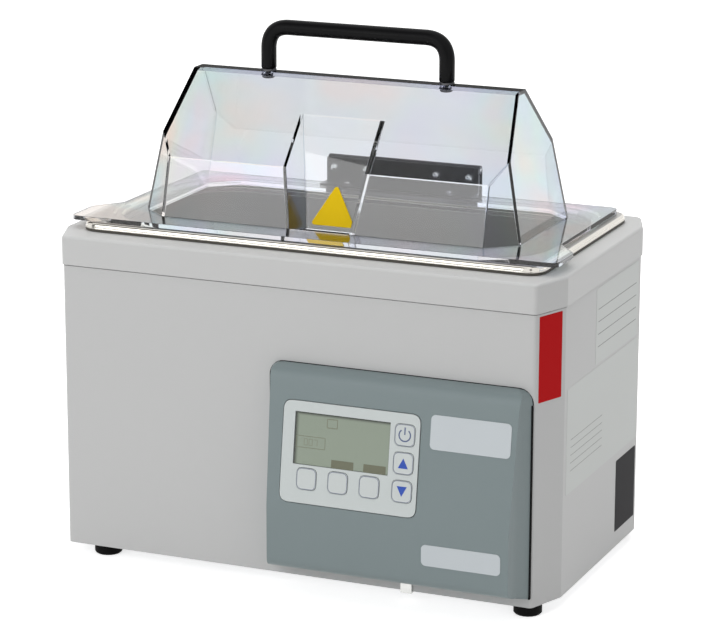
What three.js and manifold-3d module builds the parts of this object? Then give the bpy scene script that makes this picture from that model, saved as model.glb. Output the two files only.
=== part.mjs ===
import * as THREE from 'three';
import { ConvexGeometry } from 'three/addons/geometries/ConvexGeometry.js';
import { mergeVertices } from 'three/addons/utils/BufferGeometryUtils.js';
import Module from 'manifold-3d';

// A bench-top laboratory water bath. Sizes are in millimetres, +Z is up, the front faces -Y.

const wasm = await Module();
wasm.setup();

// Clearances and overruns shared by the whole assembly
const FIT = 0.3;
const OVERRUN = 5;
const SHORT_STEPS = 4;
const WELL_STEPS = 6;
const ROUND_STEPS = 14;
const SCREW_STEPS = 10;

// Tolerances for merging points and for meeting planes
const SAME_POINT = 1e-5;
const ON_PLANE = 1e-6;
const NEARLY_PARALLEL = 1e-9;

// Case
const CASE_WIDTH = 353;
const CASE_DEPTH = 205;
const CASE_HEIGHT = 192.8;
const CORNER_CUT_X = 10.4;
const CORNER_CUT_Y = 27.4;
const CORNER_ROUND = 3;
const SHEET = 1.2;
const BASE_SHEET = 1.5;

// Feet
const FOOT_HEIGHT = 8.2;
const FOOT_RADIUS = 9.4;
const FOOT_TAPER = 1.2;
const FOOT_LEFT_INSET = 33;
const FOOT_RIGHT_INSET = 17.5;
const FOOT_FRONT_INSET = 13.5;
const FOOT_BACK_INSET = 25;
const FOOT_BORE = 2.3;
const FOOT_COUNTERBORE = 4.4;
const FOOT_COUNTERBORE_DEPTH = 5;
const FOOT_SCREW_HEAD = 3.7;
const FOOT_SCREW_HEAD_HEIGHT = 2.4;
const FOOT_SCREW_SHANK = 2;
const FOOT_SCREW_TAIL = 4;

// Top cover
const COVER_SEAM = 0.7;
const COVER_OVERHANG = 1;
const COVER_HEIGHT = 19.5;
const COVER_WALL = 3;
const COVER_ROUND = 4.5;
const SPIGOT_WALL = 2;
const SPIGOT_DEPTH = 9;

// Tank, drawn from sheet, hung by its rim
const RIM_SIDE_MARGIN = 14.6;
const RIM_FRONT_MARGIN = 17.9;
const RIM_BACK_MARGIN = 12.7;
const RIM_ROUND = 14;
const RIM_HEIGHT = 5.2;
const RIM_LEDGE = 12.3;
const RIM_EDGE_ROUND = 1.5;
const RIM_BEAD = 0.5;
const RIM_BEAD_HEIGHT = 1.2;
const RIM_LAND = 5;
const RIM_STEP = 1.5;
const WELL_EDGE_ROUND = 2;
const TANK_SHEET = 0.9;
const WELL_ROUND = 45;
const UNDER_TANK_ROOM = 68.5;
const SHOULDER_DROP = 5.4;
const SHOULDER_STEP = 2.2;
const WELL_FLOOR_ROUND = 14;
const GASKET_HEIGHT = 1;
const GASKET_WIDTH = 4;

// Heating and insulation round the tank
const INSULATION_WALL = 8;
const INSULATION_TOP_GAP = 16;
const INSULATION_FOOT_GAP = 4;
const HEATER_SIDE_MARGIN = 29;
const HEATER_FRONT_MARGIN = 7.4;
const HEATER_ROUND = 8;
const HEATER_THICKNESS = 2;
const PROBE_RADIUS = 3;
const PROBE_LENGTH = 40;
const PROBE_SPACING = 11;
const CUTOUT_RADIUS = 8;
const CUTOUT_HEIGHT = 6;
const CUTOUT_STEM_RADIUS = 4;
const CUTOUT_STEM_HEIGHT = 5;
const CUTOUT_SPACING = 13;

// Power board under the tank
const BOARD_WIDTH = 130;
const BOARD_DEPTH = 84;
const BOARD_SHEET = 1.6;
const BOARD_OFFSET = 50;
const BOARD_INSET = 6;
const STANDOFF_HEIGHT = 9;
const STANDOFF_RADIUS = 3.2;
const HEATSINK_WIDTH = 40;
const HEATSINK_DEPTH = 26;
const HEATSINK_HEIGHT = 24;
const HEATSINK_FIN = 2;
const HEATSINK_FINS = 6;
const HEATSINK_ROOT = 5;
const TRANSFORMER_WIDTH = 34;
const TRANSFORMER_DEPTH = 30;
const TRANSFORMER_HEIGHT = 22;
const TERMINAL_WIDTH = 46;
const TERMINAL_DEPTH = 10;
const TERMINAL_HEIGHT = 12;

// Mains inlet in the back wall
const INLET_SIDE_INSET = 64.5;
const INLET_RISE = 42;
const INLET_BODY_WIDTH = 27;
const INLET_BODY_HEIGHT = 20;
const INLET_BODY_DEPTH = 22;
const INLET_FLANGE_WIDTH = 50;
const INLET_FLANGE_HEIGHT = 24;
const INLET_FLANGE = 2.5;
const INLET_WALL = 2;
const INLET_PIN_WIDTH = 2;
const INLET_PIN_HEIGHT = 4;
const INLET_PIN_RECESS = 6;
const INLET_PIN_PITCH = 7;
const INLET_SCREW_INSET = 5;
const SMALL_SCREW_HEAD = 2.7;
const SMALL_SCREW_HEAD_HEIGHT = 1.4;
const SMALL_SCREW_SHANK = 1.4;
const INLET_SCREW_LENGTH = 6;

// Ventilation slots in the back wall and in the base
const SLOT_LENGTH = 26;
const SLOT_WIDTH = 3;
const SLOT_PITCH = 8;
const SLOT_COUNT = 9;
const BACK_SLOT_RISE = 70;
const BACK_SLOT_OFFSET = -70;
const BASE_SLOT_OFFSET = 60;

// Control panel housing
const PANEL_WIDTH = 181;
const PANEL_HEIGHT = 138.5;
const PANEL_SIDE_GAP = 0.8;
const PANEL_FOOT_GAP = 6.3;
const PANEL_REACH = 22.3;
const PANEL_SHOULDER_REACH = 11;
const PANEL_SHOULDER_DROP = 12;
const PANEL_TOP_REACH = 2.5;
const PANEL_CREASE_RISE = 47;
const PANEL_CHIN_ROUND = 5;
const PANEL_CHIN_RISE = 6.5;
const PANEL_WALL = 2.6;
const PANEL_CORNER_ROUND = 10;
const PANEL_DRAFT_NEAR = 5;
const PANEL_DRAFT_FAR = 7.8;
const PANEL_PORT_WIDTH = 60;
const PANEL_PORT_HEIGHT = 30;
const CLIP_WIDTH = 7.8;
const CLIP_SHEET = 1.2;
const CLIP_OFFSET = 5.7;
const CLIP_HOOK = 10;

// Keypad, display and keys, laid out on the sloping face
const FRAME_LEFT_MARGIN = 8.2;
const FRAME_RIGHT_MARGIN = 3.2;
const FRAME_FOOT_MARGIN = 9.2;
const FRAME_TOP_MARGIN = 6.9;
const FRAME_PANEL_MARGIN = 15.9;
const FRAME_RISE = 4.4;
const FRAME_ROUND = 6;
const FRAME_SEAT = 1.5;
const FRAME_PROUD = 0.5;
const FRAME_LEDGE = 2;
const FRAME_CLEARANCE = 0.5;
const DISPLAY_WIDTH = 66.2;
const DISPLAY_HEIGHT = 34.3;
const DISPLAY_SET_DOWN = 0.7;
const DISPLAY_BORDER = 1;
const DISPLAY_BODY = 4;
const KEY_WIDTH = 13.6;
const KEY_HEIGHT = 14;
const KEY_ROUND = 3.6;
const KEY_PROUD = 0.4;
const KEY_GAP_X = 3.5;
const KEY_GAP_Y = 2;
const KEY_INSET = 4.4;
const SOFT_KEY_SHIFT = 1;
const KEY_COLLAR = 0.6;
const KEY_COLLAR_THICKNESS = 1;
const KEY_STEM = 4;
const KEY_TRAVEL = 0.5;
const KEY_SWITCH = 6;
const KEY_SWITCH_HEIGHT = 1;
const DISPLAY_BOARD_SHEET = 1.6;
const DISPLAY_BOARD_MARGIN = 2;
const BOSS_RADIUS = 1.8;
const BOSS_INSET = 4.3;

// Lid: one clear moulding with a gabled hood and a flange
const LID_SHEET = 3;
const FLANGE_SIDE_MARGIN = 6.4;
const FLANGE_FRONT_MARGIN = 4.9;
const FLANGE_ROUND = 6;
const TAB_REACH = 15.5;
const TAB_LENGTH = 31;
const TAB_TAPER = 20;
const HOOD_HEIGHT = 91.3;
const HOOD_END_INSET = 22.7;
const HOOD_END_LEAN = 10.7;
const HOOD_WALL_INSET = 20.8;
const HOOD_WALL_LEAN = 14.4;
const HOOD_KINK_RISE = 38.9;
const HOOD_CORNER_CUT = 13.1;
const HOOD_CORNER_TURN = 47.7;
const HOOD_CORNER_LEAN = 11;
const RIDGE_REACH = 6.4;

// Pocket moulded into the front of the hood
const POCKET_FOOT_SETBACK = 16;
const POCKET_LEAN = 16.7;
const POCKET_TOP_RISE = 69.4;
const POCKET_FOOT_REACH = 16.5;
const POCKET_TOP_REACH = 27.5;
const POCKET_FLARE = 16.7;
const POCKET_STEPS = 6;

// Handle on the ridge
const HANDLE_SPAN = 128;
const HANDLE_RISE = 33.3;
const HANDLE_RADIUS = 5.2;
const HANDLE_BEND = 15;
const HANDLE_BEND_STEPS = 6;
const HANDLE_BORE_DEPTH = 10;
const HANDLE_SCREW_SHANK = 2.5;
const HANDLE_SCREW_HEAD = 4.2;
const HANDLE_SCREW_HEAD_HEIGHT = 2.4;
const HANDLE_WASHER_THICKNESS = 1.6;
const SCREW_CLEARANCE = 0.4;

// Hinge at the back
const HINGE_WIDTH = 113;
const BRACKET_SHEET = 1.5;
const BRACKET_RISE = 18.4;
const BRACKET_FOOT = 14;
const BRACKET_ROUND = 2;
const LEAF_SHEET = 1;
const LEAF_DROP = 13;
const KNUCKLE_COUNT = 5;
const KNUCKLE_RISE = 1;
const PIN_RADIUS = 1.25;
const PIN_CLEARANCE = 0.15;
const CASE_LEAF_FOOT = 6.3;
const CASE_SCREW_INSET = 12.5;
const NUT_RADIUS = 3;
const NUT_HEIGHT = 2;
const NUT_DOME = 2.5;
const NUT_DROP = 7.3;
const NUT_INNER_INSET = 30.5;
const NUT_OUTER_INSET = 6.5;
const BOLT_RADIUS = 1.5;
const BOLT_HEAD = 2.3;
const BOLT_HEAD_HEIGHT = 1;
const BRACKET_SCREW_INSET = 18.5;
const BRACKET_SCREW_LENGTH = 2;
const BRACKET_HOLE = 3.3;
const BRACKET_HOLE_INSET = 22.3;

// Levels and reaches worked out from the sizes above
const caseBottom = FOOT_HEIGHT;
const coverBottom = caseBottom + CASE_HEIGHT + COVER_SEAM;
const coverTop = coverBottom + COVER_HEIGHT;
const gasketBottom = coverTop + FIT;
const rimTop = gasketBottom + RIM_HEIGHT;
const flangeBottom = rimTop + FIT;
const flangeTop = flangeBottom + LID_SHEET;
const ridgeTop = flangeTop + HOOD_HEIGHT;
const wellFloor = caseBottom + UNDER_TANK_ROOM;
const halfCase = CASE_DEPTH / 2;
const coverWidth = CASE_WIDTH + 2 * COVER_OVERHANG;
const coverDepth = CASE_DEPTH + 2 * COVER_OVERHANG;
const rimWidth = coverWidth - 2 * RIM_SIDE_MARGIN;
const rimDepth = coverDepth - RIM_FRONT_MARGIN - RIM_BACK_MARGIN;
const rimSetback = (RIM_FRONT_MARGIN - RIM_BACK_MARGIN) / 2;
const wellWidth = rimWidth - 2 * RIM_LEDGE;
const wellDepth = rimDepth - 2 * RIM_LEDGE;
const flangeWidth = rimWidth - 2 * FLANGE_SIDE_MARGIN;
const flangeDepth = rimDepth - 2 * FLANGE_FRONT_MARGIN;
const inletOffset = CASE_WIDTH / 2 - INLET_SIDE_INSET;
const inletScrewPitch = INLET_FLANGE_WIDTH - 2 * INLET_SCREW_INSET;

const steel = (color, roughness) => new THREE.MeshStandardMaterial({ color, roughness, metalness: 1 });
const plain = (color, roughness) => new THREE.MeshStandardMaterial({ color, roughness, metalness: 0 });
const paint = plain(0xc4c4c2, 0.5);
const coverPaint = plain(0xc6c5c3, 0.45);
const brushedSteel = steel(0xb9b7b0, 0.32);
const darkSteel = steel(0x6d6a6c, 0.3);
const brightSteel = steel(0xd6d6d4, 0.2);
const galvanised = steel(0x9a9c9e, 0.5);
const rubber = plain(0x151515, 0.8);
const silicone = plain(0x5a5a58, 0.7);
const wool = plain(0xd8d2c0, 1);
const heaterRubber = plain(0xb4572a, 0.7);
const boardGreen = plain(0x1f5a3a, 0.55);
const panelPlastic = plain(0x7b8a8a, 0.5);
const framePlastic = plain(0xcfd3d4, 0.45);
const keyPlastic = plain(0xd6dadb, 0.5);
const displayGlass = plain(0x8f9a86, 0.25);
const inletPlastic = plain(0x1c1c1e, 0.45);
const handlePlastic = plain(0x111111, 0.35);
const clearPlastic = new THREE.MeshStandardMaterial({
  color: 0xe6edef, roughness: 0.06, metalness: 0, transparent: true, opacity: 0.35,
});

const group = new THREE.Group();

function toSolid(geometry) {
  const bare = geometry.index ? geometry.toNonIndexed() : geometry.clone();
  for (const name of Object.keys(bare.attributes)) {
    if (name !== 'position') bare.deleteAttribute(name);
  }
  const merged = mergeVertices(bare, SAME_POINT);
  const place = merged.attributes.position;
  const index = merged.index.array;
  const corner = [new THREE.Vector3(), new THREE.Vector3(), new THREE.Vector3()];
  const kept = [];
  let volume = 0;
  for (let i = 0; i < index.length; i += 3) {
    const [a, b, c] = index.subarray(i, i + 3);
    if (a === b || b === c || c === a) continue;
    kept.push(a, b, c);
    [a, b, c].forEach((vertex, k) => corner[k].fromBufferAttribute(place, vertex));
    volume += corner[0].dot(corner[1].cross(corner[2]));
  }
  if (volume < 0) kept.reverse();
  return new wasm.Manifold(new wasm.Mesh({
    numProp: 3,
    vertProperties: new Float32Array(place.array),
    triVerts: new Uint32Array(kept),
  }));
}

function toGeometry(solid) {
  const mesh = solid.getMesh();
  const geometry = new THREE.BufferGeometry();
  geometry.setAttribute('position', new THREE.BufferAttribute(mesh.vertProperties, 3));
  geometry.setIndex(new THREE.BufferAttribute(mesh.triVerts, 1));
  geometry.computeVertexNormals();
  return geometry;
}

const join = (first, ...others) => others.reduce((sum, solid) => sum.add(solid), first);
const cut = (first, ...others) => others.reduce((rest, solid) => rest.subtract(solid), first);
const move = (solid, x, y, z) => solid.translate([x, y, z]);

function add(name, solid, material, parent = group) {
  const mesh = new THREE.Mesh(toGeometry(solid), material);
  mesh.name = name;
  parent.add(mesh);
  return mesh;
}

function octagon(width, depth, cutX, cutY) {
  const quarter = [[1, -1, 1, 0], [1, -1, 0, 1], [1, 1, 0, 1], [1, 1, 1, 0]];
  const half = quarter.map(([sx, sy, onX, onY]) => new THREE.Vector2(
    sx * (width / 2 - onX * cutX),
    sy * (depth / 2 - onY * cutY),
  ));
  return [...half, ...half.map((p) => p.clone().negate())];
}

function box2(width, depth) {
  const [x, y] = [width / 2, depth / 2];
  return [[-x, -y], [x, -y], [x, y], [-x, y]].map(([px, py]) => new THREE.Vector2(px, py));
}

// Moves every edge of a convex outline inwards by the same distance
function inset(outline, distance) {
  const edges = outline.map((start, i) => {
    const along = outline[(i + 1) % outline.length].clone().sub(start).normalize();
    const inwards = new THREE.Vector2(-along.y, along.x);
    return { point: start.clone().addScaledVector(inwards, distance), along };
  });
  return edges.map((edge, i) => {
    const previous = edges[(i + edges.length - 1) % edges.length];
    const gap = edge.point.clone().sub(previous.point);
    const reach = gap.cross(edge.along) / previous.along.cross(edge.along);
    return previous.point.clone().addScaledVector(previous.along, reach);
  });
}

// Replaces each corner of an outline with a short curve
function soften(outline, radius, steps = SHORT_STEPS) {
  return outline.flatMap((corner, i) => {
    const before = outline[(i + outline.length - 1) % outline.length].clone().sub(corner);
    const after = outline[(i + 1) % outline.length].clone().sub(corner);
    const turn = Math.PI - Math.abs(before.angleTo(after));
    const reach = radius * Math.tan(turn / 2);
    const from = corner.clone().addScaledVector(before.normalize(), reach);
    const to = corner.clone().addScaledVector(after.normalize(), reach);
    return new THREE.QuadraticBezierCurve(from, corner, to).getPoints(steps);
  });
}

const roundedBox = (width, depth, radius, steps) => soften(box2(width, depth), radius, steps);

// Skins a row of convex rings that all have the same number of points
function skin(rings) {
  const count = rings[0].length;
  const vertices = rings.flat().flatMap(({ x, y, z }) => [x, y, z]);
  const faces = [];
  for (let level = 0; level < rings.length - 1; level += 1) {
    for (let i = 0; i < count; i += 1) {
      const [a, b] = [level * count + i, level * count + (i + 1) % count];
      faces.push(a, b, b + count, a, b + count, a + count);
    }
  }
  const last = (rings.length - 1) * count;
  for (let i = 1; i < count - 1; i += 1) {
    faces.push(0, i + 1, i, last, last + i, last + i + 1);
  }
  const geometry = new THREE.BufferGeometry();
  geometry.setAttribute('position', new THREE.Float32BufferAttribute(vertices, 3));
  geometry.setIndex(faces);
  return toSolid(geometry);
}

const stack = (layers) => skin(
  layers.map(({ outline, z }) => outline.map(({ x, y }) => new THREE.Vector3(x, y, z))),
);

const slab = (outline, low, high) => stack([{ outline, z: low }, { outline, z: high }]);

function block(width, depth, height) {
  return toSolid(new THREE.BoxGeometry(width, depth, height));
}

function rod(radius, low, high, sides = ROUND_STEPS) {
  const geometry = new THREE.CylinderGeometry(radius, radius, high - low, sides);
  return toSolid(geometry.rotateX(Math.PI / 2).translate(0, 0, (low + high) / 2));
}

function turned(profile, sides = ROUND_STEPS) {
  const points = profile.map(([radius, height]) => new THREE.Vector2(radius, height));
  return toSolid(new THREE.LatheGeometry(points, sides).rotateX(Math.PI / 2));
}

const lieAlongX = (solid) => solid.rotate([0, 90, 0]);
const faceBack = (solid) => solid.rotate([-90, 0, 0]);
const faceFront = (solid) => solid.rotate([90, 0, 0]);

function panHeadScrew(head, headHeight, shank, length) {
  return turned([[0, -length], [shank, -length], [shank, 0], [head, 0],
    [head, headHeight / 2], [head * Math.SQRT1_2, headHeight], [0, headHeight]], SCREW_STEPS);
}

const quadrants = [[-1, -1], [1, -1], [-1, 1], [1, 1]];
const casePlan = octagon(CASE_WIDTH, CASE_DEPTH, CORNER_CUT_X, CORNER_CUT_Y);
const caseOutline = (depthIn) => soften(inset(casePlan, depthIn), CORNER_ROUND);

function addCase() {
  const top = caseBottom + CASE_HEIGHT;
  const shell = cut(
    slab(caseOutline(0), caseBottom, top),
    slab(caseOutline(SHEET), caseBottom - OVERRUN, top + OVERRUN),
  );
  const wallCut = (width, height) => block(width, SHEET + OVERRUN, height);
  const port = move(
    wallCut(PANEL_PORT_WIDTH, PANEL_PORT_HEIGHT),
    panelCentreX, -halfCase, panelBottom + PANEL_CREASE_RISE,
  );
  const inlet = move(
    wallCut(INLET_BODY_WIDTH + 2 * FIT, INLET_BODY_HEIGHT + 2 * FIT),
    inletOffset, halfCase, caseBottom + INLET_RISE,
  );
  const inletHoles = [-1, 1].map((side) => move(
    faceBack(rod(SMALL_SCREW_SHANK + FIT, -OVERRUN, OVERRUN)),
    inletOffset + side * inletScrewPitch / 2, halfCase, caseBottom + INLET_RISE,
  ));
  const slots = Array.from({ length: SLOT_COUNT }, (_, i) => move(
    wallCut(SLOT_WIDTH, SLOT_LENGTH),
    BACK_SLOT_OFFSET + (i - (SLOT_COUNT - 1) / 2) * SLOT_PITCH, halfCase, caseBottom + BACK_SLOT_RISE,
  ));
  add('outer_case', cut(shell, port, inlet, ...inletHoles, ...slots), paint);
}

const footLeft = FOOT_LEFT_INSET - CASE_WIDTH / 2;
const footRight = CASE_WIDTH / 2 - FOOT_RIGHT_INSET;
const footFront = FOOT_FRONT_INSET - halfCase;
const footBack = halfCase - FOOT_BACK_INSET;
const footPlaces = [
  ['front_left', footLeft, footFront], ['front_right', footRight, footFront],
  ['back_left', footLeft, footBack], ['back_right', footRight, footBack],
];

const boardCorners = quadrants.map(([sx, sy]) => [
  sx * (BOARD_WIDTH / 2 - BOARD_INSET) - BOARD_OFFSET, sy * (BOARD_DEPTH / 2 - BOARD_INSET),
]);

function addBase() {
  const plate = slab(caseOutline(SHEET + FIT), caseBottom, caseBottom + BASE_SHEET);
  const footHoles = footPlaces.map(([, x, y]) => move(
    rod(FOOT_SCREW_SHANK + FIT, -OVERRUN, OVERRUN), x, y, caseBottom,
  ));
  const slots = Array.from({ length: SLOT_COUNT }, (_, i) => move(
    block(SLOT_LENGTH, SLOT_WIDTH, BASE_SHEET + OVERRUN),
    BASE_SLOT_OFFSET, (i - (SLOT_COUNT - 1) / 2) * SLOT_PITCH, caseBottom,
  ));
  add('base_plate', cut(plate, ...footHoles, ...slots), galvanised);

  const foot = turned([
    [FOOT_BORE, FOOT_COUNTERBORE_DEPTH], [FOOT_COUNTERBORE, FOOT_COUNTERBORE_DEPTH],
    [FOOT_COUNTERBORE, 0], [FOOT_RADIUS - FOOT_TAPER, 0], [FOOT_RADIUS, FOOT_TAPER],
    [FOOT_RADIUS, FOOT_HEIGHT - FIT], [FOOT_BORE, FOOT_HEIGHT - FIT],
    [FOOT_BORE, FOOT_COUNTERBORE_DEPTH],
  ], ROUND_STEPS + SHORT_STEPS);
  const screwLength = FOOT_HEIGHT - FOOT_COUNTERBORE_DEPTH + FIT + FOOT_SCREW_TAIL;
  const screw = panHeadScrew(
    FOOT_SCREW_HEAD, FOOT_SCREW_HEAD_HEIGHT, FOOT_SCREW_SHANK, screwLength,
  ).rotate([180, 0, 0]);
  for (const [name, x, y] of footPlaces) {
    add(`foot_${name}`, foot, rubber).position.set(x, y, 0);
    add(`foot_screw_${name}`, screw, brightSteel)
      .position.set(x, y, FOOT_COUNTERBORE_DEPTH - FIT);
  }
}

function addCover() {
  const plan = inset(casePlan, -COVER_OVERHANG);
  const outline = (depthIn) => soften(inset(plan, depthIn), CORNER_ROUND + COVER_OVERHANG);
  const crown = Array.from({ length: SHORT_STEPS + 1 }, (_, i) => {
    const turn = (Math.PI / 2) * (i / SHORT_STEPS);
    return {
      outline: outline(COVER_ROUND * (1 - Math.cos(turn))),
      z: coverTop - COVER_ROUND * (1 - Math.sin(turn)),
    };
  });
  const outside = stack([{ outline: outline(0), z: coverBottom }, ...crown]);
  const spigotInset = SHEET + COVER_OVERHANG + FIT;
  const spigotBottom = coverBottom - SPIGOT_DEPTH;
  const spigot = slab(outline(spigotInset), spigotBottom, coverTop - COVER_WALL);
  const inside = slab(
    outline(spigotInset + SPIGOT_WALL), spigotBottom - OVERRUN, coverTop - COVER_WALL,
  );
  const opening = slab(
    wellOutline(-TANK_SHEET - FIT - SHOULDER_STEP), coverBottom - OVERRUN, coverTop + OVERRUN,
  );
  const hingeHoles = [-1, 1].map((side) => move(
    rod(SMALL_SCREW_SHANK + FIT, -COVER_WALL - OVERRUN, OVERRUN),
    side * caseScrewOffset, caseScrewY, coverTop,
  ));
  add('top_cover', cut(join(outside, spigot), inside, opening, ...hingeHoles), coverPaint);
}

// Outline of the drawn well, larger for a negative inset
function wellOutline(depthIn) {
  const outline = roundedBox(
    wellWidth - 2 * depthIn, wellDepth - 2 * depthIn, WELL_ROUND - depthIn, WELL_STEPS,
  );
  return outline.map((p) => p.add(new THREE.Vector2(0, rimSetback)));
}

const rimOutline = (depthIn) => roundedBox(
  rimWidth - 2 * depthIn, rimDepth - 2 * depthIn, RIM_ROUND - depthIn, WELL_STEPS,
).map((p) => p.add(new THREE.Vector2(0, rimSetback)));

// The well's space for no inset, and for one sheet outwards the outside of its wall and ledge
function wellSolid(depthIn, floor, top) {
  const shoulder = rimTop - SHOULDER_DROP;
  const ledge = rimTop - RIM_STEP + depthIn;
  const ledgeReach = RIM_LEDGE - RIM_LAND;
  const floorRound = Array.from({ length: SHORT_STEPS + 1 }, (_, i) => {
    const turn = (Math.PI / 2) * (i / SHORT_STEPS);
    return {
      outline: wellOutline(depthIn + SHOULDER_STEP + WELL_FLOOR_ROUND * (1 - Math.sin(turn))),
      z: floor + WELL_FLOOR_ROUND * (1 - Math.cos(turn)),
    };
  });
  return stack([
    ...floorRound,
    { outline: wellOutline(depthIn + SHOULDER_STEP), z: shoulder - SHOULDER_STEP + depthIn },
    { outline: wellOutline(depthIn), z: shoulder + depthIn },
    { outline: wellOutline(depthIn), z: ledge - WELL_EDGE_ROUND },
    { outline: wellOutline(depthIn - WELL_EDGE_ROUND * (1 - Math.SQRT1_2)), z: ledge - WELL_EDGE_ROUND / 2 },
    { outline: wellOutline(depthIn - WELL_EDGE_ROUND), z: ledge },
    { outline: wellOutline(depthIn + RIM_STEP - ledgeReach), z: ledge },
    { outline: wellOutline(depthIn - ledgeReach), z: Math.min(rimTop, ledge + RIM_STEP) },
    { outline: wellOutline(depthIn - ledgeReach), z: top },
  ]);
}

function addTank() {
  const lipBottom = gasketBottom + GASKET_HEIGHT + FIT;
  const shoulderRound = [0, 1, 2].map((i) => {
    const turn = (Math.PI / 4) * i;
    return {
      outline: rimOutline(RIM_BEAD + RIM_EDGE_ROUND * (1 - Math.cos(turn))),
      z: rimTop - RIM_EDGE_ROUND * (1 - Math.sin(turn)),
    };
  });
  const lip = cut(
    stack([
      { outline: rimOutline(0), z: lipBottom },
      { outline: rimOutline(0), z: lipBottom + RIM_BEAD_HEIGHT },
      { outline: rimOutline(RIM_BEAD), z: lipBottom + RIM_BEAD_HEIGHT + RIM_BEAD },
      ...shoulderRound,
    ]),
    slab(rimOutline(RIM_BEAD + TANK_SHEET), coverTop, rimTop - TANK_SHEET),
  );
  const drawn = wellSolid(-TANK_SHEET, wellFloor, rimTop - TANK_SHEET / 2);
  const water = wellSolid(0, wellFloor + TANK_SHEET, rimTop + OVERRUN);
  add('tank', cut(join(lip, drawn), water), brushedSteel);

  const gasket = cut(
    slab(rimOutline(0), gasketBottom, gasketBottom + GASKET_HEIGHT),
    slab(rimOutline(GASKET_WIDTH), coverTop, rimTop),
  );
  add('rim_gasket', gasket, silicone);

  const jacketTop = coverBottom - INSULATION_TOP_GAP;
  const jacketBottom = wellFloor + WELL_FLOOR_ROUND + INSULATION_FOOT_GAP;
  const jacketInside = SHOULDER_STEP - TANK_SHEET - FIT;
  add('tank_insulation', cut(
    slab(wellOutline(jacketInside - INSULATION_WALL), jacketBottom, jacketTop),
    slab(wellOutline(jacketInside), jacketBottom - OVERRUN, jacketTop + OVERRUN),
  ), wool);

  const underside = wellFloor - FIT;
  const floorIn = SHOULDER_STEP + WELL_FLOOR_ROUND;
  const heaterWidth = wellWidth - 2 * (floorIn + HEATER_SIDE_MARGIN);
  const heaterDepth = wellDepth - 2 * (floorIn + HEATER_FRONT_MARGIN);
  const heater = roundedBox(heaterWidth, heaterDepth, HEATER_ROUND);
  add('heater_pad', slab(heater, -HEATER_THICKNESS, 0), heaterRubber)
    .position.set(0, rimSetback, underside);
  const probe = rod(PROBE_RADIUS, -PROBE_LENGTH / 2, PROBE_LENGTH / 2);
  add('temperature_probe', faceBack(probe), brightSteel)
    .position.set(-heaterWidth / 2 - PROBE_SPACING, rimSetback, underside - PROBE_RADIUS);
  const cutout = turned([
    [0, -CUTOUT_HEIGHT - CUTOUT_STEM_HEIGHT], [CUTOUT_STEM_RADIUS, -CUTOUT_HEIGHT - CUTOUT_STEM_HEIGHT],
    [CUTOUT_STEM_RADIUS, -CUTOUT_HEIGHT], [CUTOUT_RADIUS, -CUTOUT_HEIGHT], [CUTOUT_RADIUS, 0], [0, 0],
  ]);
  add('thermal_cutout', cutout, galvanised)
    .position.set(heaterWidth / 2 + CUTOUT_SPACING, rimSetback, underside);
}

function addPowerBoard() {
  const standoffFoot = caseBottom + BASE_SHEET + FIT;
  boardCorners.forEach(([x, y], i) => {
    add(`board_standoff_${i + 1}`, rod(STANDOFF_RADIUS, 0, STANDOFF_HEIGHT, 6), brightSteel)
      .position.set(x, y, standoffFoot);
  });
  const board = block(BOARD_WIDTH, BOARD_DEPTH, BOARD_SHEET);
  const top = BOARD_SHEET / 2;
  const onBoard = (solid, height, x, y) => move(solid, x, y, height / 2);
  const sinkX = BOARD_WIDTH / 2 - HEATSINK_WIDTH / 2 - BOARD_INSET;
  const sink = onBoard(
    block(HEATSINK_WIDTH, HEATSINK_DEPTH, HEATSINK_HEIGHT), HEATSINK_HEIGHT, sinkX, 0,
  );
  const gapWidth = (HEATSINK_WIDTH - HEATSINK_FINS * HEATSINK_FIN) / (HEATSINK_FINS - 1);
  const gaps = Array.from({ length: HEATSINK_FINS - 1 }, (_, i) => move(
    block(gapWidth, HEATSINK_DEPTH + OVERRUN, HEATSINK_HEIGHT),
    sinkX - HEATSINK_WIDTH / 2 + HEATSINK_FIN + gapWidth / 2 + i * (gapWidth + HEATSINK_FIN),
    0, HEATSINK_ROOT + HEATSINK_HEIGHT / 2 + top,
  ));
  const transformer = onBoard(
    block(TRANSFORMER_WIDTH, TRANSFORMER_DEPTH, TRANSFORMER_HEIGHT), TRANSFORMER_HEIGHT,
    BOARD_INSET + TRANSFORMER_WIDTH / 2 - BOARD_WIDTH / 2, 0,
  );
  const terminals = onBoard(
    block(TERMINAL_WIDTH, TERMINAL_DEPTH, TERMINAL_HEIGHT), TERMINAL_HEIGHT,
    0, BOARD_DEPTH / 2 - BOARD_INSET,
  );
  add('power_board', join(board, cut(sink, ...gaps), transformer, terminals), boardGreen)
    .position.set(-BOARD_OFFSET, 0, standoffFoot + STANDOFF_HEIGHT + FIT + top);
}

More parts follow.
